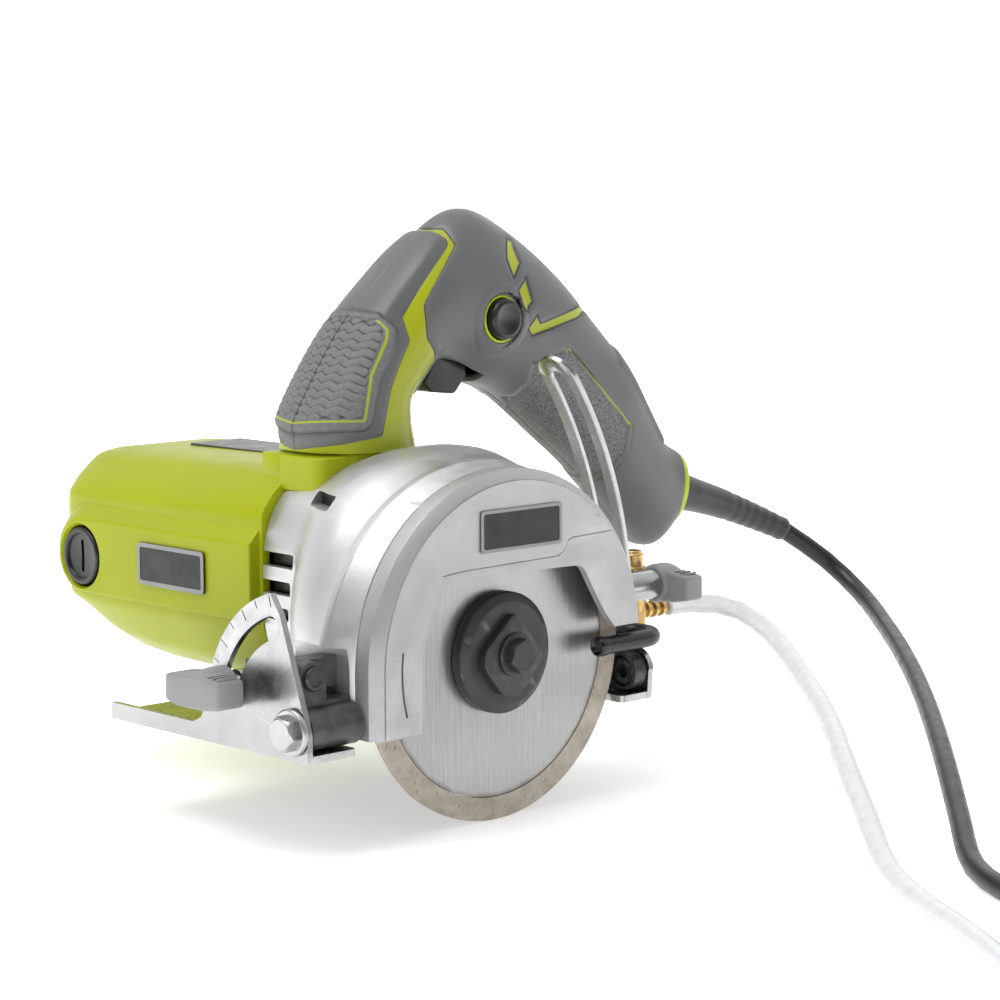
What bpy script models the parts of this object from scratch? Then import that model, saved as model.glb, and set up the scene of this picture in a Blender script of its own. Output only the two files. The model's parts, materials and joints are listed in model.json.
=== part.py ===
"""Hand-held wet tile cutter with a 105 mm diamond blade, as separate sub-parts.

Frame: +Z up, -X towards the front of the tool, -Y the outer side of the blade.
Design coordinates are millimetres from the centre of the blade; DX, DY and DZ
carry them to the finished frame, whose origin is the middle of the footprint
at the lowest point of the blade.
"""
import bpy
import bmesh
import math
from mathutils import Vector, Matrix

# ---------------------------------------------------------------- dimensions
BLADE_R = 52.5            # 105 mm diamond blade
RIM_W = 7.3               # width of the sintered diamond rim
ARBOR_R = 8.0             # 16 mm arbor
DX, DY, DZ = -24.57, -79.15, 52.5
MODULE = 0.75             # gear pair between motor and spindle
GEAR_T, PINION_T = 34, 14
MOTOR_Z = MODULE * (GEAR_T + PINION_T) / 2      # 18 mm centre distance
HANDLE_Y = 59.5           # parting plane of the handle
SEAM_Y = 62.0             # joint between gear housing and motor housing
PIVOT = (-72.0, 0.8)      # depth hinge, X and Z
BEVEL_Z = -13.7           # bevel hinge height, in the blade plane
BASE_TOP, BASE_BOT = -20.3, -22.5
ARM_R0, ARM_R1 = 139.5, 141.5
STUD_F = (29.2, -4.0)     # front clamp stud, Y and Z
STUD_R = (15.2, 9.6)      # rear clamp stud, Y and Z
CORD_R, HOSE_R = 3.25, 3.2
MM = 0.001
GAP = 0.3

for o in list(bpy.data.objects):
    bpy.data.objects.remove(o, do_unlink=True)

PARTS = bpy.data.collections.new("tile_cutter")
CUTS = bpy.data.collections.new("cutters")
bpy.context.scene.collection.children.link(PARTS)
bpy.context.scene.collection.children.link(CUTS)


# ---------------------------------------------------------------- helpers
def W(x, y, z):
    return Vector(((x + DX) * MM, (y + DY) * MM, (z + DZ) * MM))


def material(name, rgb, rough, metal=0.0):
    m = bpy.data.materials.new(name)
    m.use_nodes = True
    b = m.node_tree.nodes["Principled BSDF"]
    b.inputs["Base Color"].default_value = (*rgb, 1)
    b.inputs["Roughness"].default_value = rough
    b.inputs["Metallic"].default_value = metal
    return m


GREEN = material("green_plastic", (0.56, 0.66, 0.02), 0.35)
GREY = material("grey_rubber", (0.14, 0.14, 0.145), 0.6)
DARK = material("dark_rubber", (0.07, 0.07, 0.075), 0.7)
ALU = material("cast_aluminium", (0.62, 0.63, 0.64), 0.42, 1.0)
CHROME = material("plated_steel", (0.72, 0.72, 0.73), 0.2, 1.0)
STEEL = material("steel", (0.5, 0.5, 0.51), 0.35, 1.0)
BLACK = material("black_steel", (0.03, 0.03, 0.032), 0.4, 0.6)
BLACKP = material("black_plastic", (0.015, 0.015, 0.016), 0.35)
KNOBG = material("light_grey_plastic", (0.5, 0.5, 0.51), 0.45)
BRASS = material("brass", (0.72, 0.5, 0.2), 0.3, 1.0)
DIAMOND = material("diamond_rim", (0.42, 0.36, 0.27), 0.8, 0.2)
COPPER = material("copper", (0.7, 0.35, 0.2), 0.4, 1.0)
CLEAR = material("clear_vinyl", (0.85, 0.88, 0.88), 0.15)
CARBON = material("carbon", (0.05, 0.05, 0.05), 0.7)


def put(name, mesh, mat, matrix=None, coll=None, smooth=None):
    if mat is not None:
        mesh.materials.clear()
        mesh.materials.append(mat)
    if smooth is not None:
        mesh.shade_smooth()
        mesh.set_sharp_from_angle(angle=math.radians(smooth))
    ob = bpy.data.objects.new(name, mesh)
    (coll or PARTS).objects.link(ob)
    if matrix is not None:
        ob.matrix_world = matrix
    return ob


def block(name, lo, hi, mat, bevel=0.0, coll=None):
    bm = bmesh.new()
    bmesh.ops.create_cube(bm, size=1.0)
    size = [(hi[i] - lo[i]) * MM for i in range(3)]
    bmesh.ops.scale(bm, vec=size, verts=bm.verts)
    me = bpy.data.meshes.new(name)
    bm.to_mesh(me)
    bm.free()
    c = [(hi[i] + lo[i]) / 2 for i in range(3)]
    ob = put(name, me, mat, Matrix.Translation(W(*c)), coll)
    if bevel:
        m = ob.modifiers.new("Bevel", "BEVEL")
        m.width = bevel * MM
        m.segments = 2
    return ob


def aim(axis):
    """Rotation that carries local +Z to the given direction."""
    d = {"X": (1, 0, 0), "Y": (0, 1, 0), "Z": (0, 0, 1)}[axis] if isinstance(axis, str) else tuple(axis)
    return Vector(d).normalized().to_track_quat("Z", "Y").to_matrix().to_4x4()


def turned(name, prof, axis, at, mat, steps=24, coll=None, closed=False):
    """Solid of revolution: (radius, height) pairs from the outer top down,
    turned about the axis through the point `at`."""
    me = bpy.data.meshes.new(name)
    n = len(prof)
    e = [(i, i + 1) for i in range(n - 1)] + ([(n - 1, 0)] if closed else [])
    me.from_pydata([(r * MM, 0, h * MM) for r, h in prof], e, [])
    ob = put(name, me, mat, Matrix.Translation(W(*at)) @ aim(axis), coll)
    s = ob.modifiers.new("Screw", "SCREW")
    s.steps = s.render_steps = steps
    s.use_merge_vertices = True
    s.merge_threshold = 0.00001
    s.use_smooth_shade = True
    return ob


def rod(name, axis, a, b, r, mat, steps=24, coll=None):
    """Plain cylinder from a to b along a main axis."""
    k = "XYZ".index(axis)
    return turned(name, [(0, b[k] - a[k]), (r, b[k] - a[k]), (r, 0), (0, 0)],
                  axis, a, mat, steps, coll)


def ring(name, axis, at, r_out, r_in, h, mat, steps=24, coll=None):
    return turned(name, [(r_out, h), (r_out, 0), (r_in, 0), (r_in, h)],
                  axis, at, mat, steps, coll, closed=True)


PLANES = {"Y": Matrix(((1, 0, 0, 0), (0, 0, -1, 0), (0, 1, 0, 0), (0, 0, 0, 1))),
          "X": Matrix(((0, 0, 1, 0), (1, 0, 0, 0), (0, 1, 0, 0), (0, 0, 0, 1))),
          "Z": Matrix.Identity(4)}


def flat(name, outline, axis, lo, hi, mat, holes=(), coll=None):
    """Flat outline extruded between lo and hi along an axis.  Outline points
    are (x, z) for Y, (y, z) for X and (x, y) for Z."""
    cu = bpy.data.curves.new(name + "_outline", "CURVE")
    cu.dimensions = "2D"
    cu.fill_mode = "BOTH"
    cu.extrude = (hi - lo) / 2 * MM
    for pts in (outline, *holes):
        sp = cu.splines.new("POLY")
        sp.points.add(len(pts) - 1)
        for p, q in zip(sp.points, pts):
            p.co = (q[0] * MM, q[1] * MM, 0, 1)
        sp.use_cyclic_u = True
    tmp = bpy.data.objects.new(name + "_tmp", cu)
    CUTS.objects.link(tmp)
    mid = (lo + hi) / 2
    off = W(*{"X": (mid, 0, 0), "Y": (0, mid, 0), "Z": (0, 0, mid)}[axis])
    tmp.matrix_world = Matrix.Translation(off) @ PLANES[axis]
    mw = tmp.matrix_world.copy()
    dg = bpy.context.evaluated_depsgraph_get()
    dg.update()
    me = bpy.data.meshes.new_from_object(tmp.evaluated_get(dg))
    bpy.data.objects.remove(tmp)
    bm = bmesh.new()
    bm.from_mesh(me)
    bmesh.ops.remove_doubles(bm, verts=bm.verts, dist=0.000001)
    bmesh.ops.recalc_face_normals(bm, faces=bm.faces)
    bm.to_mesh(me)
    bm.free()
    return put(name, me, mat, mw, coll, smooth=35)


def loft(name, rings, mat, coll=None):
    """Skin between closed sections with the same number of points."""
    bm = bmesh.new()
    vs = [[bm.verts.new(W(*p)) for p in r] for r in rings]
    n = len(rings[0])
    for a, b in zip(vs, vs[1:]):
        for i in range(n):
            j = (i + 1) % n
            bm.faces.new((a[i], a[j], b[j], b[i]))
    bm.faces.new(list(reversed(vs[0])))
    bm.faces.new(vs[-1])
    bmesh.ops.recalc_face_normals(bm, faces=bm.faces)
    me = bpy.data.meshes.new(name)
    bm.to_mesh(me)
    bm.free()
    return put(name, me, mat, None, coll, smooth=35)


def boolean(ob, tool, op="DIFFERENCE"):
    if tool.name in PARTS.objects:
        PARTS.objects.unlink(tool)
        CUTS.objects.link(tool)
    tool.hide_render = True
    tool.display_type = "WIRE"
    m = ob.modifiers.new(op.title(), "BOOLEAN")
    m.operation = op
    m.solver = "EXACT"
    m.object = tool
    return ob


def join(ob, *tools):
    for t in tools:
        boolean(ob, t, "UNION")
    return ob


def cut(ob, *tools):
    for t in tools:
        boolean(ob, t)
    return ob


def arc(cx, cz, r, a0, a1, n):
    return [(cx + r * math.cos(math.radians(a0 + (a1 - a0) * i / n)),
             cz + r * math.sin(math.radians(a0 + (a1 - a0) * i / n))) for i in range(n + 1)]


def smooth_path(ctrl, step):
    """Catmull-Rom curve through the control points, sampled every `step` mm."""
    p = [Vector(c) for c in ctrl]
    p = [2 * p[0] - p[1]] + p + [2 * p[-1] - p[-2]]
    fine = []
    for i in range(1, len(p) - 2):
        a, b, c, d = p[i - 1:i + 3]
        for k in range(24):
            t = k / 24
            fine.append(0.5 * ((2 * b) + (c - a) * t + (2 * a - 5 * b + 4 * c - d) * t * t
                               + (3 * b - a - 3 * c + d) * t ** 3))
    fine.append(p[-2])
    total = sum((b - a).length for a, b in zip(fine, fine[1:]))
    n = max(2, round(total / step))
    out, want, run = [fine[0]], total / n, 0.0
    for a, b in zip(fine, fine[1:]):
        seg = (b - a).length
        while run + seg >= want - 1e-9 and len(out) < n:
            out.append(a.lerp(b, (want - run) / seg))
            want += total / n
        run += seg
    out.append(fine[-1])
    return out


def tube(name, pts, r, mat, res=2):
    cu = bpy.data.curves.new(name, "CURVE")
    cu.dimensions = "3D"
    cu.bevel_depth = r * MM
    cu.bevel_resolution = res
    cu.use_fill_caps = True
    sp = cu.splines.new("POLY")
    sp.points.add(len(pts) - 1)
    for p, q in zip(sp.points, pts):
        p.co = (*W(*q), 1)
    cu.materials.append(mat)
    ob = bpy.data.objects.new(name, cu)
    PARTS.objects.link(ob)
    return ob


def section(y, w, top, bot, zc, nu, nl, cx=0.0, n=28):
    """Housing section: a rounded upper half and a squarer lower half."""
    out = []
    for k in range(n):
        t = 2 * math.pi * k / n
        c, s = math.cos(t), math.sin(t)
        e = nu if s >= 0 else nl
        h = (top - zc) if s >= 0 else (zc - bot)
        out.append((cx + w * math.copysign(abs(c) ** (2 / e), c), y,
                    zc + h * math.copysign(abs(s) ** (2 / e), s)))
    return out


def gear_outline(teeth, phase):
    """Straight-flanked teeth of the shared module."""
    rp = MODULE * teeth / 2
    ro, rr, p = rp + MODULE * 0.85, rp - MODULE * 1.2, 2 * math.pi / teeth
    pts = []
    for i in range(teeth):
        c = phase + i * p
        for da, r in ((-0.25, rr), (-0.09, ro), (0.09, ro), (0.25, rr)):
            pts.append((r * math.cos(c + da * p), r * math.sin(c + da * p)))
    return pts


# ---------------------------------------------------------------- gear housing and guard
CASE = [(-0.7, 57, 56.6, -15.8, -1, 2, 8), (8, 62.2, 58.2, -15.8, -4, 2, 8),
        (10.5, 62.2, 58.2, -15.8, -4, 2, 8), (12.5, 60.6, 58.0, -15.8, -3, 2, 8),
        (25, 58, 61.2, -15.8, -2, 2.3, 8), (36, 51, 60.2, -16, 5, 2.4, 6),
        (43, 43, 57.8, -17, 14, 2.7, 4), (SEAM_Y - 0.15, 41, 54.5, -17.5, 18, 2.8, 3)]
gear_housing = loft("gear_housing", [section(*s) for s in CASE], ALU)
cut(gear_housing,
    loft("case_hollow", [section(*s) for s in (
        (12.4, 50, 48, -11, -1, 2.1, 6), (25, 53.5, 56, -11, -2, 2.3, 6), (36, 47, 56, -12, 5, 2.4, 5),
        (43, 39.4, 54.2, -13.4, 14, 2.7, 4), (SEAM_Y + 3, 37.6, 51, -14, 18, 2.8, 3))], None, CUTS),
    flat("blade_recess", arc(0, 0, 54.4, 0, 180, 40) + [(-54.4, -40), (54.4, -40)], "Y", -3, 4.3, None, coll=CUTS),
    rod("spindle_hole", "Y", (0, 3, 0), (0, 14, 0), 13.2, None, 28, CUTS),
    rod("gear_well", "Y", (0, 12.3, 0), (0, 26, 0), 13.9, None, 28, CUTS),
    block("rear_block_notch", (49.5, -4, -40), (80, 22, -4.9), None, 0, CUTS),
    block("bracket_notch", (-80, -4, -40), (-57.6, 35.5, 7.6), None, 0, CUTS),
    block("nozzle_notch", (34, -4, -7), (80, 11.4, 1.6), None, 0, CUTS))
lug = flat("pivot_lug", arc(*PIVOT, 4.4, 90, 270, 10) + [(-54, -3.6), (-54, 5.2)], "Y", 6.4, 13.6, ALU)
join(gear_housing, lug, block("handle_pad_front", (-30, 44.5, 47), (8, SEAM_Y - 0.15, 58.2), ALU),
     rod("clamp_boss", "X", (54, *STUD_R), (62.5, *STUD_R), 5.4, ALU, 20))
cut(gear_housing, rod("pin_hole", "Y", (PIVOT[0], 2, PIVOT[1]), (PIVOT[0], 18, PIVOT[1]), 2.8, None, 20, CUTS))
for i, (z0, z1, y0, y1) in enumerate(((8, 12, 48, 66), (16, 20.3, 46.5, 66), (24.5, 29, 45, 66), (44.3, 48.6, 28, 43.6))):
    cut(gear_housing, block("vent_%d" % i, (-60, y0, z0), (60, y1, z1), None, 0, CUTS))

GUARD_R = 56.8
win = [(-37.6, -13.3), (-37.3, 8), (-30, 22.3), (-28, 26.3), (26.4, 24.7), (29, 23.6),
       (33.8, 15.6), (38.3, 8.6), (42.6, 3.6)]
a_end = math.degrees(math.asin(3.6 / GUARD_R))
blade_guard = flat("blade_guard", arc(0, 0, GUARD_R, a_end, 180, 44) + [(-GUARD_R, -19), (-43.5, -19)] + win,
                   "Y", -10, -7.4, ALU)
join(blade_guard, flat("guard_rim", arc(0, 0, GUARD_R, a_end, 180, 44) + [(-GUARD_R, -19), (-54.2, -19), (-54.2, 0)]
                       + arc(0, 0, 54.2, 180, a_end, 44), "Y", -7.8, -1, ALU))
guard_badge = block("guard_badge", (-15.5, -10.9, 32.5), (18.4, -10.3, 45.4), BLACKP)

# ---------------------------------------------------------------- motor housing
motor_housing = loft("motor_housing", [section(*s) for s in (
    (SEAM_Y + 0.15, 40.6, 54, -17.5, 18, 2.8, 2.6), (95, 40, 53, -18, 18, 2.8, 2.5),
    (135, 39, 52.5, -17.5, 18, 2.8, 2.4), (160, 37, 50.5, -14, 18, 2.7, 2.4),
    (168, 34, 48, -11, 18, 2.6, 2.4), (172, 29, 43.5, -6, 18, 2.6, 2.4))], GREEN)
join(motor_housing,
     block("boss_front", (-44, 64, 6), (-30, 167.5, 30.5), GREEN, 2),
     block("boss_rear", (30, 64, 6), (44, 167.5, 30.5), GREEN, 2),
     block("handle_pad_rear", (-30, SEAM_Y + 0.15, 45), (8, 75, 58.2), GREEN))
cut(motor_housing, loft("motor_hollow", [section(*s) for s in (
    (SEAM_Y - 4, 37.6, 51, -14.5, 18, 2.8, 2.6), (95, 37, 50, -15, 18, 2.8, 2.5),
    (135, 36, 49.5, -14.5, 18, 2.8, 2.4), (160, 33.5, 47, -10.5, 18, 2.7, 2.4),
    (169, 29.5, 43.5, -6.5, 18, 2.6, 2.4))], None, CUTS),
    rod("cap_hole_front", "X", (-50, 155, MOTOR_Z), (-25, 155, MOTOR_Z), 10.2, None, 28, CUTS),
    rod("cap_hole_rear", "X", (25, 155, MOTOR_Z), (50, 155, MOTOR_Z), 10.2, None, 28, CUTS))
for i, z in enumerate((-4, 3, 10)):
    cut(motor_housing, block("end_vent_%d" % i, (-12, 166, z), (12, 176, z + 3), None, 0, CUTS))
motor_badge = block("motor_badge", (-44.9, 86.4, 12.5), (-44.3, 121.5, 26.2), BLACKP)

# brushes sit in brass boxes behind screw caps on both sides of the commutator
for tag, s in (("front", -1), ("rear", 1)):
    p = (s * 40.6, 155, MOTOR_Z)
    prof = [(0, 3.6), (6.4, 3.6), (6.4, 2.9), (8.2, 2.9), (8.2, 3.6), (9.8, 3.6), (9.8, 0), (0, 0)]
    turned("brush_cap_" + tag, prof, (s, 0, 0), p, BLACKP, 28)
    hold = block("brush_holder_" + tag, (min(s * 15.2, s * 39.8), 150.5, MOTOR_Z - 5.5),
                 (max(s * 15.2, s * 39.8), 159.5, MOTOR_Z + 5.5), BRASS)
    cut(hold, block("brush_slot_" + tag, (min(s * 10, s * 45), 152, MOTOR_Z - 4),
                    (max(s * 10, s * 45), 158, MOTOR_Z + 4), None, 0, CUTS))
    block("carbon_brush_" + tag, (min(s * 12.4, s * 27), 152.3, MOTOR_Z - 3.7),
          (max(s * 12.4, s * 27), 157.7, MOTOR_Z + 3.7), CARBON)

# ---------------------------------------------------------------- motor internals
AX = (0, 0, MOTOR_Z)
ring("stator", "Y", (0, 66, MOTOR_Z), 31, 21.2, 46, STEEL, 28)
ring("motor_bearing_rear", "Y", (0, 163.2, MOTOR_Z), 9.5, 4.3, 5.5, STEEL, 20)
plate = flat("bearing_plate", arc(0, MOTOR_Z, 28.4, 0, 360, 24)[:-1], "Y", 27, 33, ALU,
             holes=(arc(0, MOTOR_Z, 4.6, 0, 360, 20)[:-1],))
cut(plate, rod("spindle_pocket", "Y", (0, 26, 0), (0, 30, 0), 6.6, None, 24, CUTS))
shaft = turned("armature_shaft", [(0, 168), (4.0, 168), (4.0, 22), (4.0, 12.8), (0, 12.8)],
               "Y", (0, 0, MOTOR_Z), STEEL, 20)
join(shaft, flat("pinion_teeth", [(x, z + MOTOR_Z) for x, z in gear_outline(PINION_T, math.radians(270))],
                 "Y", 12.6, 22, STEEL))
ring("armature_core", "Y", (0, 68, MOTOR_Z), 20.4, 4.3, 42, STEEL, 28)
ring("commutator", "Y", (0, 146, MOTOR_Z), 12, 4.3, 17, COPPER, 24)
fan = ring("cooling_fan", "Y", (0, 38, MOTOR_Z), 8, 4.3, 10, BLACKP, 24)
join(fan, ring("fan_disc", "Y", (0, 45.5, MOTOR_Z), 27, 7, 2, BLACKP, 24))
for k in range(8):
    a = 2 * math.pi * k / 8
    v = block("fan_vane_%d" % k, (7, 38.5, MOTOR_Z - 0.8), (25.5, 46, MOTOR_Z + 0.8), BLACKP)
    v.matrix_world = (Matrix.Translation(W(0, 0, MOTOR_Z)) @ Matrix.Rotation(a, 4, "Y")
                      @ Matrix.Translation(-W(0, 0, MOTOR_Z)) @ v.matrix_world)
    join(fan, v)

# ---------------------------------------------------------------- spindle and blade
turned("spindle", [(0, 29.4), (6.0, 29.4), (6.0, 5), (7.6, 5), (7.6, -3.2), (4.0, -3.2), (4.0, 10), (0, 10)],
       "Y", (0, 0, 0), STEEL, 28)
ring("spindle_bearing", "Y", (0, 6.0, 0), 13.0, 7.9, 6.0, STEEL, 28)
ring("inner_flange", "Y", (0, 1.2, 0), 17.5, 7.9, 2.9, BLACK, 32)
ring("blade_core", "Y", (0, -0.8, 0), BLADE_R - RIM_W - 0.15, 8.0, 1.6, STEEL, 48)
ring("diamond_rim", "Y", (0, -1.0, 0), BLADE_R, BLADE_R - RIM_W + 0.15, 2.0, DIAMOND, 48)
flange = turned("outer_flange", [(8.0, -9.2), (8.0, -3.6), (8.0, -1.1), (18.8, -1.1), (18.8, -5.0), (16.2, -6.4),
                                 (13.2, -6.4), (13.2, -9.2)], "Y", (0, 0, 0), BLACK, 28, closed=True)
turned("blade_bolt", [(0, -13.7), (5.2, -13.7), (5.2, -10.6), (6.8, -10.6), (6.8, -9.5), (3.7, -9.5), (3.7, 8), (0, 8)][::-1],
       "Y", (0, 0, 0), BLACK, 24)
flat("driven_gear", gear_outline(GEAR_T, math.radians(90 + 180 / GEAR_T)), "Y", 13, 21.4, STEEL,
     holes=(arc(0, 0, 6.3, 0, 360, 24)[:-1],))

# ---------------------------------------------------------------- handle
# stations along the loop: outer point, inner point (X, Z) and half width in Y
STATIONS = [(-27, 58.6, 12, 58.6, 17.0), (-24.8, 66.5, 10.3, 66.5, 16.6), (-17, 79, 10.2, 74.5, 16.0),
            (-6, 93.5, 16, 81, 15.6), (9, 109, 22.5, 86.5, 15.6), (24, 122.5, 31, 85, 16.0),
            (40, 131, 42, 79.5, 16.6), (57, 124.5, 54, 75, 16.5), (78, 110.5, 65.5, 67.5, 15.6),
            (95, 95, 80, 56.5, 14.6), (108.5, 80, 94.5, 45.5, 14.0), (119.5, 64.5, 107, 34, 12.6),
            (129, 51.5, 118.5, 22.5, 11.2), (134.5, 47.6, 127, 16.5, 10.0), (139, 45.3, 134.2, 21.2, 9.2)]


def station(u):
    """Catmull-Rom read of the station table."""
    i = min(int(u), len(STATIONS) - 2)
    t = u - i
    g = lambda k: STATIONS[max(0, min(len(STATIONS) - 1, k))]
    return [0.5 * (2 * b + (c - a) * t + (2 * a - 5 * b + 4 * c - d) * t * t + (3 * b - a - 3 * c + d) * t ** 3)
            for a, b, c, d in zip(g(i - 1), g(i), g(i + 1), g(i + 2))]


def skin(u, th, off=0.0, e=2.5):
    """Point on the handle: th 0 is the outer crown, 90 the -Y side, 180 the inner side."""
    ox, oz, ix, iz, b = station(u)
    n = Vector((ox - ix, oz - iz))
    a = n.length / 2 + off
    n.normalize()
    t = math.radians(th)
    c, s = math.cos(t), math.sin(t)
    k = a * math.copysign(abs(c) ** (2 / e), c)
    y = HANDLE_Y - (b + off) * math.copysign(abs(s) ** (2 / e), s)
    return ((ox + ix) / 2 + n.x * k, y, (oz + iz) / 2 + n.y * k)


def band(u, th0, th1, off0, off1, n=10, side=1):
    """Closed strip section between two offsets of the skin."""
    out = [skin(u, th0 + (th1 - th0) * i / n, off1) for i in range(n + 1)]
    out += [skin(u, th1 + (th0 - th1) * i / n, off0) for i in range(n + 1)]
    if side < 0:
        out = [(x, 2 * HANDLE_Y - y, z) for x, y, z in out]
    return out


def frange(a, b, n):
    return [a + (b - a) * i / n for i in range(n + 1)]


E = 0.6      # the halves stop just short of the parting plane
for tag, s in (("left", 1), ("right", -1)):
    core = [band(u, E, 180 - E, -3.4, 0, 7, s) for u in frange(0, 2.4, 3)]
    core += [band(u, E, 180 - E, -5.2, -2.9, 7, s) for u in frange(2.5, 14, 16)]
    handle = loft("handle_" + tag, core, GREEN)
    grip = loft("grip_" + tag, [band(u, E, 180 - E, -2.1, 0, 7, s) for u in frange(2.55, 13.9, 16)], GREY)
    for ob in (handle, grip):
        cut(ob, block("trigger_gap_%s_%s" % (tag, ob.name), (14, 51.9, 66), (43, 67.1, 97), None, 0, CUTS))
        if s > 0:
            cut(ob, rod("button_hole_" + ob.name, "Y", (43, 36, 98), (43, 56, 98), 9.6, None, 28, CUTS))
loft("front_grip_pad", [band(u, -62, 62, 0.3, 1.7, 10) for u in frange(1.25, 2.35, 3)], DARK)
loft("rear_grip_pad", [band(u, -38, 38, 0.3, 1.5, 8) for u in frange(9.6, 11.6, 4)], DARK)
loft("side_grip_panel", [band(u, 62, 138, 0.3, 1.0, 8) for u in frange(8.4, 11.8, 7)], DARK)

TAIL = Vector((139.6, HANDLE_Y, 33.0))
TAIL_DIR = Vector((0.978, 0.0, -0.208))
tail = turned("tail_ring", [(13.6, 1.6), (13.6, -0.6), (12.4, -1.2), (8.5, -1.2), (8.5, 1.2), (12.4, 2.0)],
       TAIL_DIR, TAIL, GREEN, 28, closed=True)
TAIL_OVAL = 0.74          # the tail is narrower across than it is tall
mid = Matrix.Translation(W(*TAIL))
tail.matrix_world = mid @ Matrix.Diagonal((1, TAIL_OVAL, 1, 1)) @ mid.inverted() @ tail.matrix_world
turned("lock_button_ring", [(9.3, -42.2), (9.3, -46.2), (8.3, -46.2), (8.3, -42.2)], (0, -1, 0), (43, 0, 98),
       GREEN, 28, closed=True)
turned("lock_button", [(0, -37.6), (6.6, -37.6), (7.9, -38.8), (7.9, -46.0), (5.0, -46.0), (5.0, -51.5), (0, -51.5)],
       (0, -1, 0), (43, 0, 98), DARK, 28)
block("switch_body", (29, 55, 98.4), (58, 66, 116), BLACKP, 0.8)
flat("trigger", [(19.5, 78.2), (22.3, 74.8), (33, 73.6), (38.6, 79.8), (37, 90), (24, 90)], "Y", 52.9, 66.1, BLACKP)
helix = [(31 + 2.2 * math.cos(2 * math.pi * k / 10), HANDLE_Y + 2.2 * math.sin(2 * math.pi * k / 10), 90.9 + 0.165 * k)
         for k in range(42)]
tube("trigger_spring", helix, 0.45, STEEL, 1)

# ---------------------------------------------------------------- depth bracket, arm and clamps
bx, bz = PIVOT
nose = arc(0, BEVEL_Z, 6.3, 90, 270, 12)
bracket = flat("depth_bracket", [(21, -20), (21, -6.1), (0, -6.1)] + nose, "X", -77.2, -58.2, BLACK)
ear = arc(bx, bz, 5.1, 0, 180, 10) + [(-77.1, -8), (-66.9, -8)]
join(bracket,
     flat("ear_1", ear, "Y", 0.1, 6, BLACK), flat("ear_2", ear, "Y", 14, 20.8, BLACK),
     block("stud_boss", (-69.7, 19.7, -19.8), (-61.5, 34, 2.2), BLACK),
     block("side_bar", (-61, 12.2, -19.9), (58, 20.9, -16.4), BLACK),
     flat("rear_block", [(21.1, -20.1), (21.1, -6.9), (0, -6.9)] + nose, "X", 56, 61, BLACK),
     flat("arm_foot", [(60, -8.2), (60, -19.7)] + arc(bx, bz, ARM_R0 - 0.4, -8.4, -3.7, 4), "Y", 9.5, 20.7, BLACK))
cut(bracket, rod("bevel_bore_f", "X", (-90, 0, BEVEL_Z), (-64, 0, BEVEL_Z), 3.3, None, 20, CUTS),
    rod("bevel_bore_r", "X", (45, 0, BEVEL_Z), (70, 0, BEVEL_Z), 3.3, None, 20, CUTS),
    rod("bolt_recess", "X", (45, 0, BEVEL_Z), (59.7, 0, BEVEL_Z), 5.0, None, 24, CUTS),
    rod("pin_bore", "Y", (bx, -4, bz), (bx, 24, bz), 2.8, None, 20, CUTS),
    rod("stud_bore", "X", (-75, *STUD_F), (-59, *STUD_F), 3.3, None, 20, CUTS))
turned("depth_pin", [(0, -1.4), (3.6, -1.4), (3.6, -0.3), (2.5, -0.3), (2.5, 21.6), (0, 21.6)][::-1],
       "Y", (bx, 0, bz), BLACK, 20)
arm_pts = arc(bx, bz, ARM_R1, -8, 38, 26) + arc(bx, bz, ARM_R0, 38, -8, 26)
slot_pts = arc(bx, bz, ARM_R1 + 4, 0.2, 35.8, 26) + arc(bx, bz, ARM_R0 - 4, 35.8, 0.2, 26)
rear_arm = flat("rear_arm", arm_pts, "Y", 7.6, 22.8, CHROME)
cut(rear_arm, flat("arm_slot", slot_pts, "Y", 11.8, 18.6, None, coll=CUTS))

turned("front_stud", [(0, 25.2), (3, 25.2), (3, 15.2), (4.6, 15.2), (4.6, 8.0), (3, 8.0), (3, 0), (0, 0)],
       (-1, 0, 0), (-62, *STUD_F), CHROME, 24)
turned("rear_stud", [(0, 30.2), (3, 30.2), (3, 22.8), (5, 22.8), (5, 6.9), (3, 6.9), (3, 0), (0, 0)],
       (1, 0, 0), (62.9, *STUD_R), CHROME, 24)


def knob(name, s, y0, z0, x0, out):
    """Clamp lever: hub bored for the stud, arm to one side (out = +1 or -1 in Y)."""
    x = lambda a, b: sorted((x0 + s * a, x0 + s * b))
    hub = ring(name, (s, 0, 0), (x0, y0, z0), 6.4, 3.3, 6.2, KNOBG, 24)
    xa, xb = x(4.7, 14.7) if s < 0 else x(0.9, 8.9)
    back, ahead, down, up = (11.5, 14.0, 4.8, 5.2) if s < 0 else (3.0, 14.9, 6.1, 4.6)
    ya, yb = sorted((y0 - out * back, y0 + out * ahead))
    join(hub, block(name + "_lever", (xa, ya, z0 - down), (xb, yb, z0 + up), KNOBG, 1.2),
         rod(name + "_nose", "X", (xa, y0, z0), (xb - 0.4, y0, z0), 6.0, KNOBG))
    return cut(hub, rod(name + "_bore", "X", (min(x0 - s, x0 + s * 7.6), y0, z0),
                        (max(x0 - s, x0 + s * 7.6), y0, z0), 3.3, None, 20, CUTS))


knob("front_knob", -1, *STUD_F, -80.3, -1)
knob("rear_knob", 1, *STUD_R, 86.1, -1)

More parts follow.
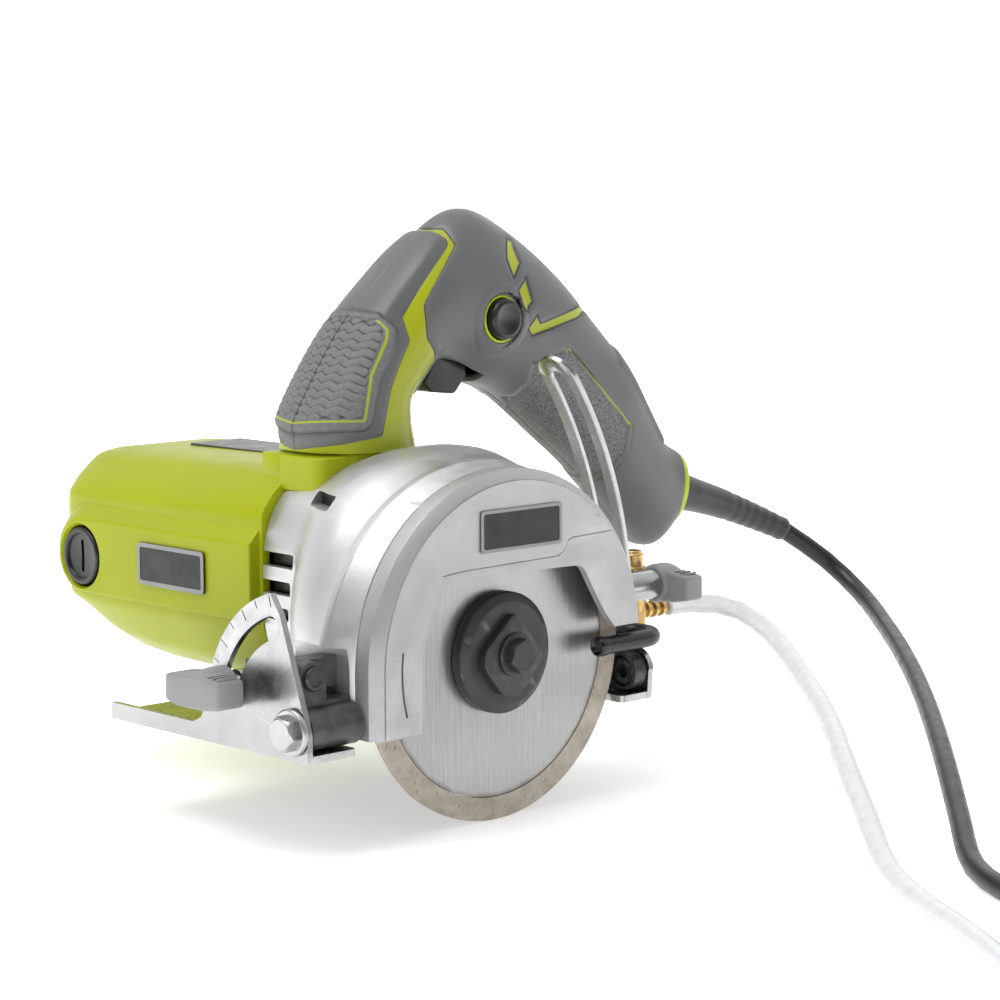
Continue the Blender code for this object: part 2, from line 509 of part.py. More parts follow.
# ---------------------------------------------------------------- base plate
base = flat("base_plate", [(-79.5, -6.2), (-60.8, -6.2), (-60.8, 8), (-57.8, 12), (50, 12), (50, -6.2), (63.4, -6.2),
                           (63.4, 89), (-79.5, 89)], "Z", BASE_BOT, BASE_TOP, CHROME)
slot = arc(0, BEVEL_Z, 34.2, 11.5, 72, 16) + arc(0, BEVEL_Z, 27.4, 72, 11.5, 16)
face = ([(-6.2, BASE_BOT), (89, BASE_BOT), (89, -17.4), (47.5, -17.4), (43.5, -15.5), (41.6, -12), (40.5, -6)]
        + arc(0, BEVEL_Z, 40.5, 14, 76, 14) + [(7.2, 22.0), (5.6, 20), (-4.9, -9.4), (-6.2, -14)])
join(base, flat("quadrant", face, "X", -79.5, -77.5, CHROME,
                holes=(slot, arc(0, BEVEL_Z, 3.3, 0, 360, 20)[:-1])),
     flat("rear_ear", [(-6.2, BASE_BOT), (7.4, BASE_BOT), (7.4, BEVEL_Z)] + arc(0, BEVEL_Z, 7.2, 0, 180, 12)[1:-1]
          + [(-6.8, BEVEL_Z)], "X", 61.4, 63.4, CHROME, holes=(arc(0, BEVEL_Z, 3.3, 0, 360, 20)[:-1],)))
turned("bevel_bolt_front", [(0, 19), (4.6, 19), (5.2, 18.4), (5.2, 15.4), (6.3, 15.4), (6.3, 14.3), (2.9, 14.3), (2.9, 0), (0, 0)],
       (-1, 0, 0), (-65.5, 0, BEVEL_Z), CHROME, 24)
turned("bevel_bolt_rear", [(0, 6.2), (2.3, 6.2), (2.3, 8.6), (4.6, 8.6), (4.6, 5.6), (2.9, 5.6), (2.9, -0.4), (0, -0.4)],
       (-1, 0, 0), (65, 0, BEVEL_Z), STEEL, 24)

# ---------------------------------------------------------------- water feed
WX, WY, WZ = 88.5, 26.2, -1.4
fitting = turned("water_fitting", [(0, 19.5), (3.0, 19.5), (3.6, 18.9), (3.6, 14), (4.4, 14), (4.4, -5.6), (0, -5.6)],
                 "Z", (WX, WY, 0), BRASS, 20)
join(fitting,
     turned("hose_barb", [(0, 16), (1.9, 16), (2.9, 12.5), (2.1, 12.5), (2.9, 9), (2.1, 9), (2.9, 5.5), (2.1, 5.5), (2.1, 0), (0, 0)],
            "X", (WX, WY, WZ), BRASS, 16),
     rod("feed_pipe", "X", (58.3, WY, WZ), (WX, WY, WZ), 2.4, BRASS, 16))
NZ, NX, NY = -2.6, 59.0, 7.5
noz = ([(38 + 5.25 * i, -NY, NZ) for i in range(5)]
       + [(x, y, NZ) for x, y in arc(NX, 0, NY, -90, 90, 10)] + [(54, NY, NZ), (49, NY, NZ), (44, NY, NZ)])
tube("water_nozzle", noz, 2.9, BLACKP, 2)

# ---------------------------------------------------------------- cord, hose and what is on them
FLOOR = -BLADE_R
relief = []
sr = smooth_path([(141.4, 59.5, 32.6), (153, 59.2, 29.6), (167, 57.8, 25.2), (181, 54.6, 19.6), (193.2, 50.2, 13.8)], 6.5)
for i, p in enumerate(sr):
    t = (sr[min(i + 1, len(sr) - 1)] - sr[max(i - 1, 0)]).normalized()
    q = t.to_track_quat("Z", "Y").to_matrix()
    k = i / (len(sr) - 1)
    r = 8.2 if k < 0.02 else (6.4 if k < 0.15 else 5.2 - 0.5 * k)
    relief.append([tuple(p + q @ Vector((min(r, 5.8) * math.cos(a), r * math.sin(a), 0)))
                   for a in [2 * math.pi * j / 14 for j in range(14)]])
loft("strain_relief", relief, DARK)

CCX, CCY = 80, -192        # mains lead coil
HCX, HCY = 8, -250        # hose coil
COIL_R0, COIL_R1, COIL_H = 26.3, 45.7, 13.2
cord_route = [(193.8, 49.9, 13.2), (200.1, 47.2, 8.7), (206.8, 41.9, 2.3), (209.3, 33.7, -4.3), (204.5, 20.2, -10.3),
              (192.1, 3.3, -14.2), (169.4, -23.3, -18.3), (145.8, -49, -22.8), (120.3, -74.7, -27.4), (91.6, -102.6, -33.8),
              (65.6, -127.6, -41.2), (45.1, -147.6, -47.2), (34.5, -165, FLOOR + CORD_R + 0.2), (30.0, -180, FLOOR + CORD_R + 0.1),
              (30.2, -195, FLOOR + CORD_R + 0.1)]
tube("power_cord", smooth_path(cord_route, 9.5), CORD_R, BLACKP, 2)
hose_route = [(105.4, WY, WZ), (112, 25.8, -1.5), (119.5, 21.5, -1.6), (124.5, 11.5, -3.2), (120.5, -7, -8.8),
              (103.1, -35, -16), (79.7, -66, -22.6), (57.8, -91, -29.2), (38.3, -115, -38), (20.9, -136.9, -46.2),
              (7, -160, FLOOR + HOSE_R + 0.2), (-5.5, -182, FLOOR + HOSE_R + 0.1), (-19, -203, FLOOR + HOSE_R + 0.1),
              (-34.9, -226, FLOOR + HOSE_R + 0.1)]
tube("water_hose", smooth_path(hose_route, 9.5), HOSE_R, CLEAR, 2)
ring("cord_coil", "Z", (CCX, CCY, FLOOR + 0.1), COIL_R1, COIL_R0, COIL_H, BLACKP, 28)
ring("hose_coil", "Z", (HCX, HCY, FLOOR + 0.1), COIL_R1, COIL_R0, COIL_H, CLEAR, 28)
# plug lies on the lead's coil, the hose coupling on the hose's coil
pz = FLOOR + COIL_H + 0.5
plug = flat("power_plug", [(0, -9), (22, -12), (26, -12), (30, -8), (30, 8), (26, 12), (22, 12), (0, 9)], "Z",
            0, 16, BLACKP)
for i, (y, z) in enumerate(((-6.3, 9), (6.3, 9))):
    join(plug, block("blade_%d" % i, (29, y - 0.8, z - 3.2), (45, y + 0.8, z + 3.2), BRASS))
coupling = turned("hose_coupling", [(0, 30), (7, 30), (7.5, 29), (7.5, 18), (5.5, 16), (5.5, 4), (4.4, 0), (0, 0)],
                  (-0.25, -1, 0), (HCX - 28.7, HCY + 17.1, pz + 7.8), BRASS, 16)


def carry(ob, dx, dy, dz, turn):
    """Move a part and the tools that shape it together."""
    m = Matrix.Translation(Vector((dx, dy, dz)) * MM) @ Matrix.Rotation(math.radians(turn), 4, "Z")
    base_m = Matrix.Translation(W(0, 0, 0))
    obs = [ob] + [d.object for d in ob.modifiers if d.type == "BOOLEAN"]
    for o in obs:
        o.matrix_world = base_m @ m @ base_m.inverted() @ o.matrix_world


carry(plug, CCX + 34, CCY - 16, pz, 75)
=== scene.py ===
"""Visual model of the hand-held wet tile cutter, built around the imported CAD."""
import bpy, bmesh, math, json
import numpy as np
from mathutils import Vector, Matrix

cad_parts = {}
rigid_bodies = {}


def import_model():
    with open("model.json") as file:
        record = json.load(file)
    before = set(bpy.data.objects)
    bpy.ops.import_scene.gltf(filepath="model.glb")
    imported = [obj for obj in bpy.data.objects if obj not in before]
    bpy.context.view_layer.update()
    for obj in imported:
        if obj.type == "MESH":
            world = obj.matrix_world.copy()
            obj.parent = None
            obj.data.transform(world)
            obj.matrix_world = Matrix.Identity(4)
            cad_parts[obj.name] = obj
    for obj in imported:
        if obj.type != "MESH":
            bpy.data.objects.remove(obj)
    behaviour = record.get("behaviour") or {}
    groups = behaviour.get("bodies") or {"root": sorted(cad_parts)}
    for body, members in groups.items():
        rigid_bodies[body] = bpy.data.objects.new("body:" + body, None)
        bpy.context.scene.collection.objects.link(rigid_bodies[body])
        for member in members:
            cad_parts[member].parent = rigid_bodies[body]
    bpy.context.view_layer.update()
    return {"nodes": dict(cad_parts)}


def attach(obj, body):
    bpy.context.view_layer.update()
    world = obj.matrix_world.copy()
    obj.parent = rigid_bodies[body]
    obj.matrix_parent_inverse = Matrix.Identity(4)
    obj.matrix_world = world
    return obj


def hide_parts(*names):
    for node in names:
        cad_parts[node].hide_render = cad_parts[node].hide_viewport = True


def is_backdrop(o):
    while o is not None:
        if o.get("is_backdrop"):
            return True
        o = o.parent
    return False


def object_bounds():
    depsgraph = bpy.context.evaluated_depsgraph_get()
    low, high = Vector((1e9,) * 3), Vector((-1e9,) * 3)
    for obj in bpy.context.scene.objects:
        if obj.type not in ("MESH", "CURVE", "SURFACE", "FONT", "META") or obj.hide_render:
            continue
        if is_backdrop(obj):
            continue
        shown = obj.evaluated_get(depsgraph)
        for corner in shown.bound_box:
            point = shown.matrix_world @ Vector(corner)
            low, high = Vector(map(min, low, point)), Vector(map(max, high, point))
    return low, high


for o in list(bpy.data.objects):
    bpy.data.objects.remove(o, do_unlink=True)
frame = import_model()
NODES = frame["nodes"]

DX, DY, DZ = -24.57, -79.15, 52.5       # design millimetres to the frame
MM = 0.001
MOTOR_Z, HANDLE_Y, SEAM_Y = 18.0, 59.5, 62.0
PIVOT, BEVEL_Z = (-72.0, 0.8), -13.7
BASE_TOP, BASE_BOT = -20.3, -22.5
STUD_F, STUD_R = (29.2, -4.0), (15.2, 9.6)
FLOOR = -52.5
BLADE_R, RIM_W = 52.5, 7.3
O3 = np.array([DX, DY, DZ])


def W(x, y, z):
    return Vector(((x + DX) * MM, (y + DY) * MM, (z + DZ) * MM))


# ------------------------------------------------------------------ camera, light, floor
AZ, EL, ROLL = map(math.radians, (-43.425, 7.148, -0.267))
BACK = np.array([math.sin(AZ) * math.cos(EL), -math.cos(AZ) * math.cos(EL), math.sin(EL)])
R0 = np.array([math.cos(AZ), math.sin(AZ), 0.0])
U0 = np.cross(BACK, R0)
RIGHT = math.cos(ROLL) * R0 + math.sin(ROLL) * U0
UP = -math.sin(ROLL) * R0 + math.cos(ROLL) * U0
CAM = BACK * 860.151 + RIGHT * 1.775 + UP * 46.163      # design mm
FPX = 2808.396


def drawn(P):
    """Design points (n, 3) to the 1000 x 1000 drawing that the outlines below are made on."""
    d = np.asarray(P, float) - CAM
    w = -d @ BACK
    return np.stack([500 + FPX * (d @ RIGHT) / w, 500 - FPX * (d @ UP) / w], -1)


cam_data = bpy.data.cameras.new("camera")
cam_data.lens, cam_data.sensor_width = FPX * 36 / 1000, 36
cam_data.clip_start, cam_data.clip_end = 0.05, 60
cam = bpy.data.objects.new("camera", cam_data)
bpy.context.scene.collection.objects.link(cam)
rot = Matrix([[RIGHT[i], UP[i], BACK[i]] for i in range(3)])
cam.matrix_world = Matrix.Translation(W(*CAM)) @ rot.to_4x4()
bpy.context.scene.camera = cam


def area(name, loc, at, size, power, size_y=None, color=(1, 1, 1)):
    l = bpy.data.lights.new(name, "AREA")
    l.energy, l.size, l.color = power, size, color
    l.shape = "RECTANGLE"
    l.size_y = size_y or size
    o = bpy.data.objects.new(name, l)
    bpy.context.scene.collection.objects.link(o)
    o.location = loc
    o.rotation_mode = "QUATERNION"
    o.rotation_quaternion = (Vector(at) - Vector(loc)).to_track_quat("-Z", "Y")
    return o


area("key_top", (-0.55, 0.05, 1.45), (0, 0, 0.05), 1.0, 13.5, 1.0)
area("key_left", (-1.3, 0.0, 0.85), (0, 0, 0.07), 0.7, 1.2, 0.8)
area("front_fill", (-0.2, -1.6, 0.75), (0, -0.02, 0.05), 1.0, 2.0, 0.7)
area("rear_rim", (1.2, 0.8, 0.9), (0.05, 0, 0.08), 0.8, 1.2, 0.9)

world = bpy.data.worlds.new("studio")
bpy.context.scene.world = world
world.use_nodes = True
wn, wl = world.node_tree.nodes, world.node_tree.links
bg = wn["Background"]
tc = wn.new("ShaderNodeTexCoord")
dot = wn.new("ShaderNodeVectorMath"); dot.operation = "DOT_PRODUCT"
dot.inputs[1].default_value = (float(-BACK[0]), float(-BACK[1]), 0.35)
ramp = wn.new("ShaderNodeMapRange"); ramp.interpolation_type = "SMOOTHSTEP"
ramp.inputs["From Min"].default_value, ramp.inputs["From Max"].default_value = -0.45, 0.65
ramp.inputs["To Min"].default_value, ramp.inputs["To Max"].default_value = 0.1, 1.03
wl.new(tc.outputs["Generated"], dot.inputs[0])
wl.new(dot.outputs["Value"], ramp.inputs["Value"])
wl.new(ramp.outputs["Result"], bg.inputs["Strength"])
bg.inputs["Color"].default_value = (1, 1, 1, 1)
bpy.context.scene.view_settings.view_transform = "Standard"


# ------------------------------------------------------------------ materials
def nodes_of(m):
    m.use_nodes = True
    t = m.node_tree
    return t, t.nodes["Principled BSDF"]


def mapped(t, scale=(1, 1, 1)):
    c = t.nodes.new("ShaderNodeTexCoord")
    mp = t.nodes.new("ShaderNodeMapping")
    mp.inputs["Scale"].default_value = scale
    t.links.new(c.outputs["Object"], mp.inputs["Vector"])
    return mp.outputs["Vector"]


def noise(t, vec, scale, detail=3.0, rough=0.55):
    n = t.nodes.new("ShaderNodeTexNoise")
    n.inputs["Scale"].default_value = scale
    n.inputs["Detail"].default_value = detail
    n.inputs["Roughness"].default_value = rough
    t.links.new(vec, n.inputs["Vector"])
    return n.outputs["Fac"]


def rng(t, val, a, b, c=0.3, d=0.7):
    m = t.nodes.new("ShaderNodeMapRange")
    m.inputs["From Min"].default_value, m.inputs["From Max"].default_value = c, d
    m.inputs["To Min"].default_value, m.inputs["To Max"].default_value = a, b
    t.links.new(val, m.inputs["Value"])
    return m.outputs["Result"]


def mixc(t, fac, a, b):
    m = t.nodes.new("ShaderNodeMix"); m.data_type = "RGBA"
    for s, v in ((m.inputs["A"], a), (m.inputs["B"], b)):
        if hasattr(v, "links") or hasattr(v, "is_linked"):
            t.links.new(v, s)
        else:
            s.default_value = (*v, 1)
    t.links.new(fac, m.inputs["Factor"])
    return m.outputs["Result"]


def mth(t, op, a, b=None, clamp=False):
    m = t.nodes.new("ShaderNodeMath"); m.operation = op; m.use_clamp = clamp
    for i, v in enumerate((a, b)):
        if v is None:
            continue
        if isinstance(v, (int, float)):
            m.inputs[i].default_value = v
        else:
            t.links.new(v, m.inputs[i])
    return m.outputs["Value"]


def bump(t, bsdf, height, dist, strength=1.0, chain=None):
    b = t.nodes.new("ShaderNodeBump")
    b.inputs["Distance"].default_value = dist
    b.inputs["Strength"].default_value = strength
    t.links.new(height, b.inputs["Height"])
    if chain is not None:
        t.links.new(chain, b.inputs["Normal"])
    t.links.new(b.outputs["Normal"], bsdf.inputs["Normal"])
    return b.outputs["Normal"]


def surf(name, base, rough=0.4, metal=0.0, var=0.07, rvar=0.08, grain=1400, depth=0.00003, blotch=60,
         stretch=(1, 1, 1), coat=0.0, wear=0.0, ior=None):
    """Moulded, cast or plated surface: blotches of tone, uneven gloss, fine grain and lighter worn edges."""
    m = bpy.data.materials.new(name)
    t, b = nodes_of(m)
    v = mapped(t)
    vs = mapped(t, stretch)
    lo = tuple(max(0, c * (1 - var)) for c in base)
    hi = tuple(min(1, c * (1 + var)) for c in base)
    col = mixc(t, rng(t, noise(t, v, blotch), 0, 1), lo, hi)
    if wear:
        g = t.nodes.new("ShaderNodeNewGeometry")
        e = mth(t, "MULTIPLY", rng(t, g.outputs["Pointiness"], 0, 1, 0.52, 0.6), rng(t, noise(t, v, 240), 0, 1), True)
        col = mixc(t, mth(t, "MULTIPLY", e, wear, True), col, tuple(min(1, c * 2.2 + 0.12) for c in base))
    t.links.new(col, b.inputs["Base Color"])
    t.links.new(rng(t, noise(t, vs, blotch * 3), max(0.02, rough - rvar), rough + rvar), b.inputs["Roughness"])
    b.inputs["Metallic"].default_value = metal
    b.inputs["Coat Weight"].default_value = coat
    if ior:
        b.inputs["IOR"].default_value = ior
    bump(t, b, noise(t, vs, grain, 2.0), depth)
    return m


GREEN_C = (0.36, 0.41, 0.003)
GREY_C = (0.105, 0.106, 0.108)
M_GREEN = surf("green_shell", GREEN_C, 0.33, var=0.05, rvar=0.05, grain=2600, depth=0.000012, blotch=28, ior=1.3)
M_ALU = surf("silver_casting", (0.6, 0.603, 0.61), 0.4, 0.8, var=0.05, rvar=0.07, grain=1500, depth=0.00005, blotch=40, wear=0.2)
M_GUARD = surf("silver_guard", (0.43, 0.433, 0.438), 0.46, 0.6, var=0.04, rvar=0.06, grain=1500, depth=0.00006, blotch=35, wear=0.25)
M_CHROME = surf("plated_sheet", (0.42, 0.42, 0.425), 0.27, 1.0, var=0.06, rvar=0.07, grain=900, depth=0.00001, blotch=50, wear=0.15)
M_STEEL = surf("ground_steel", (0.5, 0.5, 0.505), 0.32, 1.0, grain=1500, depth=0.00001, stretch=(1, 8, 1))
M_BLACK = surf("black_coat", (0.022, 0.022, 0.023), 0.38, 0.0, var=0.2, grain=1700, depth=0.00002, wear=0.35, coat=0.1)
M_BLACKP = surf("black_moulding", (0.012, 0.012, 0.013), 0.3, grain=2200, depth=0.00001)
M_SATIN = surf("dark_satin", (0.045, 0.045, 0.046), 0.42, 0.35, var=0.15, grain=1300, depth=0.00002, wear=0.55)
M_KNOB = surf("grey_knob", (0.27, 0.272, 0.276), 0.42, grain=2600, depth=0.00001, var=0.04)
M_BRASS = surf("turned_brass", (0.62, 0.42, 0.17), 0.28, 1.0, var=0.14, grain=1200, depth=0.00001, blotch=120)
M_COPPER = surf("copper_bars", (0.62, 0.3, 0.17), 0.35, 1.0, grain=1000)
M_CARBON = surf("pressed_carbon", (0.03, 0.03, 0.032), 0.7, grain=3000)
M_RUBBER = surf("dark_rubber", (0.035, 0.035, 0.037), 0.62, var=0.12, grain=1900, depth=0.00006)
M_CORD = surf("cord_jacket", (0.014, 0.014, 0.0145), 0.36, var=0.15, grain=1800, depth=0.00002, blotch=90)
M_GREENT = surf("green_trim", (0.53, 0.62, 0.01), 0.35, grain=2600, depth=0.00001)
M_BADGE = surf("badge_plate", (0.009, 0.009, 0.0095), 0.45, var=0.1, grain=2600, depth=0.00001)

# blade: brushed steel with a stained line inside a gritty rim
BC = ((0 + DX) * MM, (0 + DY) * MM, (0 + DZ) * MM)


def radial(t):
    """Distance from the spindle axis in millimetres."""
    c = t.nodes.new("ShaderNodeTexCoord")
    s = t.nodes.new("ShaderNodeSeparateXYZ")
    t.links.new(c.outputs["Object"], s.inputs[0])
    x = mth(t, "SUBTRACT", s.outputs["X"], BC[0])
    z = mth(t, "SUBTRACT", s.outputs["Z"], BC[2])
    r2 = mth(t, "ADD", mth(t, "MULTIPLY", x, x), mth(t, "MULTIPLY", z, z))
    return mth(t, "MULTIPLY", mth(t, "SQRT", r2), 1000.0), x, z


def blade_steel():
    m = bpy.data.materials.new("blade_steel")
    t, b = nodes_of(m)
    r, x, z = radial(t)
    vs = mapped(t, (14, 14, 0.5))
    v = mapped(t)
    fine = noise(t, vs, 130, 4.0, 0.7)
    blot = noise(t, v, 38, 4.0)
    base = mixc(t, rng(t, fine, 0, 1, 0.25, 0.75), (0.30, 0.30, 0.305), (0.55, 0.55, 0.55))
    base = mixc(t, rng(t, blot, 0, 0.5, 0.35, 0.75), base, (0.36, 0.355, 0.345))
    edge = mth(t, "ADD", r, mth(t, "MULTIPLY", noise(t, v, 160, 3.0), 2.4))
    stain = rng(t, edge, 0, 1, 44.9, 46.6)
    base = mixc(t, mth(t, "MULTIPLY", stain, 0.75, True), base, (0.13, 0.10, 0.07))
    t.links.new(base, b.inputs["Base Color"])
    b.inputs["Metallic"].default_value = 0.9
    t.links.new(rng(t, fine, 0.26, 0.46), b.inputs["Roughness"])
    bump(t, b, fine, 0.00002)
    return m


def grit():
    m = bpy.data.materials.new("sintered_rim")
    t, b = nodes_of(m)
    v = mapped(t)
    vs = mapped(t, (1.0, 1.0, 0.45))
    n1 = noise(t, vs, 900, 5.0, 0.7)
    n2 = noise(t, v, 120, 4.0, 0.6)
    col = mixc(t, rng(t, n2, 0, 1, 0.3, 0.7), (0.36, 0.31, 0.245), (0.62, 0.57, 0.49))
    pits = rng(t, n1, 1, 0, 0.30, 0.42)
    col = mixc(t, mth(t, "MULTIPLY", pits, 0.85, True), col, (0.09, 0.075, 0.055))
    t.links.new(col, b.inputs["Base Color"])
    t.links.new(rng(t, n2, 0.55, 0.85), b.inputs["Roughness"])
    b.inputs["Metallic"].default_value = 0.15
    bump(t, b, n1, 0.00012)
    return m


M_BLADE, M_GRIT = blade_steel(), grit()


def clear_tube():
    m = bpy.data.materials.new("clear_hose")
    t, b = nodes_of(m)
    v = mapped(t)
    n = noise(t, v, 300, 3.0)
    t.links.new(mixc(t, rng(t, n, 0, 1), (0.80, 0.82, 0.83), (0.90, 0.91, 0.92)), b.inputs["Base Color"])
    t.links.new(rng(t, n, 0.12, 0.25), b.inputs["Roughness"])
    b.inputs["Transmission Weight"].default_value = 0.4
    b.inputs["IOR"].default_value = 1.35
    bump(t, b, noise(t, v, 1200, 2.0), 0.00001)
    return m


M_HOSE = clear_tube()


def relief_mat():
    """Soft moulding with faint tone blotches and a soft sheen."""
    m = bpy.data.materials.new("relief_rubber")
    t, b = nodes_of(m)
    v = mapped(t)
    n = noise(t, v, 500, 3.0)
    t.links.new(mixc(t, rng(t, n, 0, 1), (0.018, 0.018, 0.019), (0.034, 0.034, 0.036)), b.inputs["Base Color"])
    t.links.new(rng(t, n, 0.4, 0.55), b.inputs["Roughness"])
    b.inputs["Sheen Weight"].default_value = 0.25
    bump(t, b, noise(t, v, 2400, 2.0), 0.00004)
    return m


M_RELIEF = relief_mat()

floor_mesh = bpy.data.meshes.new("floor")
floor_mesh.from_pydata([(-14, -14, 0), (14, -14, 0), (14, 14, 0), (-14, 14, 0)], [], [(0, 1, 2, 3)])
floor = bpy.data.objects.new("floor", floor_mesh)
bpy.context.scene.collection.objects.link(floor)
fm = surf("studio_floor", (0.9, 0.9, 0.9), 0.75, var=0.01, rvar=0.03, grain=40, depth=0.00001, blotch=2)
floor_mesh.materials.append(fm)
ft, fb_ = fm.node_tree, fm.node_tree.nodes["Principled BSDF"]
fc = ft.nodes.new("ShaderNodeTexCoord")
fl_ = ft.nodes.new("ShaderNodeVectorMath"); fl_.operation = "LENGTH"
ft.links.new(fc.outputs["Object"], fl_.inputs[0])
fb_.inputs["Emission Color"].default_value = (1, 1, 1, 1)
ft.links.new(rng(ft, fl_.outputs["Value"], 0.25, 1.2, 0.02, 0.5), fb_.inputs["Emission Strength"])     # painted glow: the floor emits more light the further it lies from the tool, standing in for a lit sweep
floor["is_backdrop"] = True


# ------------------------------------------------------------------ mesh helpers (design millimetres)
def finish_mesh(me, mat, smooth):
    if mat is not None:
        me.materials.clear()
        me.materials.append(mat)
    if smooth is not None:
        me.shade_smooth()
        if smooth < 180:
            me.set_sharp_from_angle(angle=math.radians(smooth))


def piece(name, V, F, mat, body, repl=(), slot=None, smooth=32, link=True):
    me = bpy.data.meshes.new(name)
    P = (np.asarray(V, float) + O3) * MM
    me.from_pydata([tuple(p) for p in P], [], [tuple(int(i) for i in f) for f in F])
    me.validate()
    bm = bmesh.new(); bm.from_mesh(me)
    bmesh.ops.remove_doubles(bm, verts=bm.verts, dist=1e-7)
    bmesh.ops.recalc_face_normals(bm, faces=bm.faces)
    bm.to_mesh(me); bm.free()
    finish_mesh(me, mat, smooth)
    o = bpy.data.objects.new(name, me)
    bpy.context.scene.collection.objects.link(o)
    return own(o, body, repl) if body else o


def own(o, body, repl=()):
    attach(o, body)
    if repl:
        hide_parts(*([repl] if isinstance(repl, str) else repl))
    return o


def basis(axis):
    d = Vector({"X": (1, 0, 0), "Y": (0, 1, 0), "Z": (0, 0, 1)}[axis] if isinstance(axis, str) else tuple(axis)).normalized()
    return d.to_track_quat("Z", "Y").to_matrix()


def turned(name, prof, axis, at, mat, body, n=72, closed=False, **k):
    """Solid of revolution from (radius, height) pairs."""
    Bm = np.array(basis(axis))
    V, F, rows = [], [], []
    for r, h in prof:
        if r < 1e-6:
            rows.append([len(V)]); V.append((0, 0, h)); continue
        rows.append(list(range(len(V), len(V) + n)))
        V += [(r * math.cos(2 * math.pi * i / n), r * math.sin(2 * math.pi * i / n), h) for i in range(n)]
    pairs = list(zip(rows, rows[1:])) + ([(rows[-1], rows[0])] if closed else [])
    for a, b in pairs:
        for i in range(n):
            j = (i + 1) % n
            q = [a[i % len(a)], a[j % len(a)], b[j % len(b)], b[i % len(b)]]
            q = list(dict.fromkeys(q))
            if len(q) > 2:
                F.append(q)
    V = np.array(V) @ Bm.T + np.array(at, float)
    return piece(name, V, F, mat, body, **k)


def rnd(prof, r=0.5, n=3):
    """Rounds the inner corners of an open profile."""
    out = [prof[0]]
    for a, b, c in zip(prof, prof[1:], prof[2:]):
        a, b, c = map(np.array, (a, b, c))
        d1, d2 = np.linalg.norm(a - b), np.linalg.norm(c - b)
        k = min(r, d1 * 0.45, d2 * 0.45)
        p, q = b + (a - b) / max(d1, 1e-9) * k, b + (c - b) / max(d2, 1e-9) * k
        for i in range(n + 1):
            t = i / n
            out.append(tuple((1 - t) ** 2 * p + 2 * t * (1 - t) * b + t * t * q))
    out.append(prof[-1])
    return out


def rounded(pts, r, n=4):
    """Rounds every corner of a closed outline; r is one radius or one per corner."""
    out, N = [], len(pts)
    rs = r if hasattr(r, "__len__") else [r] * N
    for i in range(N):
        a, b, c = (np.array(pts[(i + k) % N], float) for k in (-1, 0, 1))
        if rs[i] <= 0:
            out.append(tuple(b)); continue
        d1, d2 = np.linalg.norm(a - b), np.linalg.norm(c - b)
        k = min(rs[i], d1 * 0.48, d2 * 0.48)
        p, q = b + (a - b) / d1 * k, b + (c - b) / d2 * k
        for j in range(n + 1):
            t = j / n
            out.append(tuple((1 - t) ** 2 * p + 2 * t * (1 - t) * b + t * t * q))
    return out


PL = {"Y": lambda u, v, w: (u, w, v), "X": lambda u, v, w: (w, u, v), "Z": lambda u, v, w: (u, v, w)}


def prism(name, outline, axis, lo, hi, mat, body, holes=(), bevel=0.0, seg=2, **k):
    """Flat outline with holes between lo and hi along an axis, edges softened."""
    bm = bmesh.new()
    f = PL[axis]
    edges = []
    for pts in (outline, *holes):
        vs = [bm.verts.new(f(u, v, lo)) for u, v in pts]
        edges += [bm.edges.new((a, b)) for a, b in zip(vs, vs[1:] + vs[:1])]
    if holes:
        bmesh.ops.triangle_fill(bm, edges=edges, use_beauty=True, use_dissolve=False)
        bmesh.ops.dissolve_limit(bm, angle_limit=0.01, verts=bm.verts, edges=bm.edges)
    else:
        bm.faces.new([e.verts[0] for e in edges])
    faces = list(bm.faces)
    ex = bmesh.ops.extrude_face_region(bm, geom=faces)
    for v in [g for g in ex["geom"] if isinstance(g, bmesh.types.BMVert)]:
        v.co += Vector(f(0, 0, hi - lo))
    V = [tuple(v.co) for v in bm.verts]
    bm.verts.index_update()
    F = [[v.index for v in fc.verts] for fc in bm.faces]
    bm.free()
    o = piece(name, V, F, mat, None, smooth=k.pop("smooth", 32))
    if bevel:
        add_bevel(o, bevel, seg)
    return own(o, body, k.get("repl", ())) if body else o


def add_bevel(o, w, seg=2, angle=30):
    m = o.modifiers.new("Bevel", "BEVEL")
    m.width, m.segments, m.limit_method, m.angle_limit = w * MM, seg, "ANGLE", math.radians(angle)
    m.harden_normals = False
    return o


def box(name, lo, hi, mat, body, bevel=0.4, seg=2, **k):
    pts = [(lo[0], lo[1]), (hi[0], lo[1]), (hi[0], hi[1]), (lo[0], hi[1])]
    return prism(name, pts, "Z", lo[2], hi[2], mat, body, bevel=bevel, seg=seg, **k)


def baked(o):
    """The object's evaluated mesh in its place, with no modifiers left."""
    bpy.context.view_layer.update()
    dg = bpy.context.evaluated_depsgraph_get()
    me = bpy.data.meshes.new_from_object(o.evaluated_get(dg))
    me.transform(o.matrix_world)
    me.name = o.name
    return me


def combine(o, tools, op="DIFFERENCE", smooth=32, mat=None, body=None, repl=()):
    """Boolean that is applied at once; the tools go."""
    for tl in tools:
        m = o.modifiers.new("b", "BOOLEAN")
        m.object, m.operation, m.solver = tl, op, "EXACT"
    me = baked(o)
    name = o.name
    for x in [o, *tools]:
        bpy.data.objects.remove(x, do_unlink=True)
    finish_mesh(me, mat, smooth)
    n = bpy.data.objects.new(name, me)
    bpy.context.scene.collection.objects.link(n)
    n.name = name
    return own(n, body, repl) if body else n


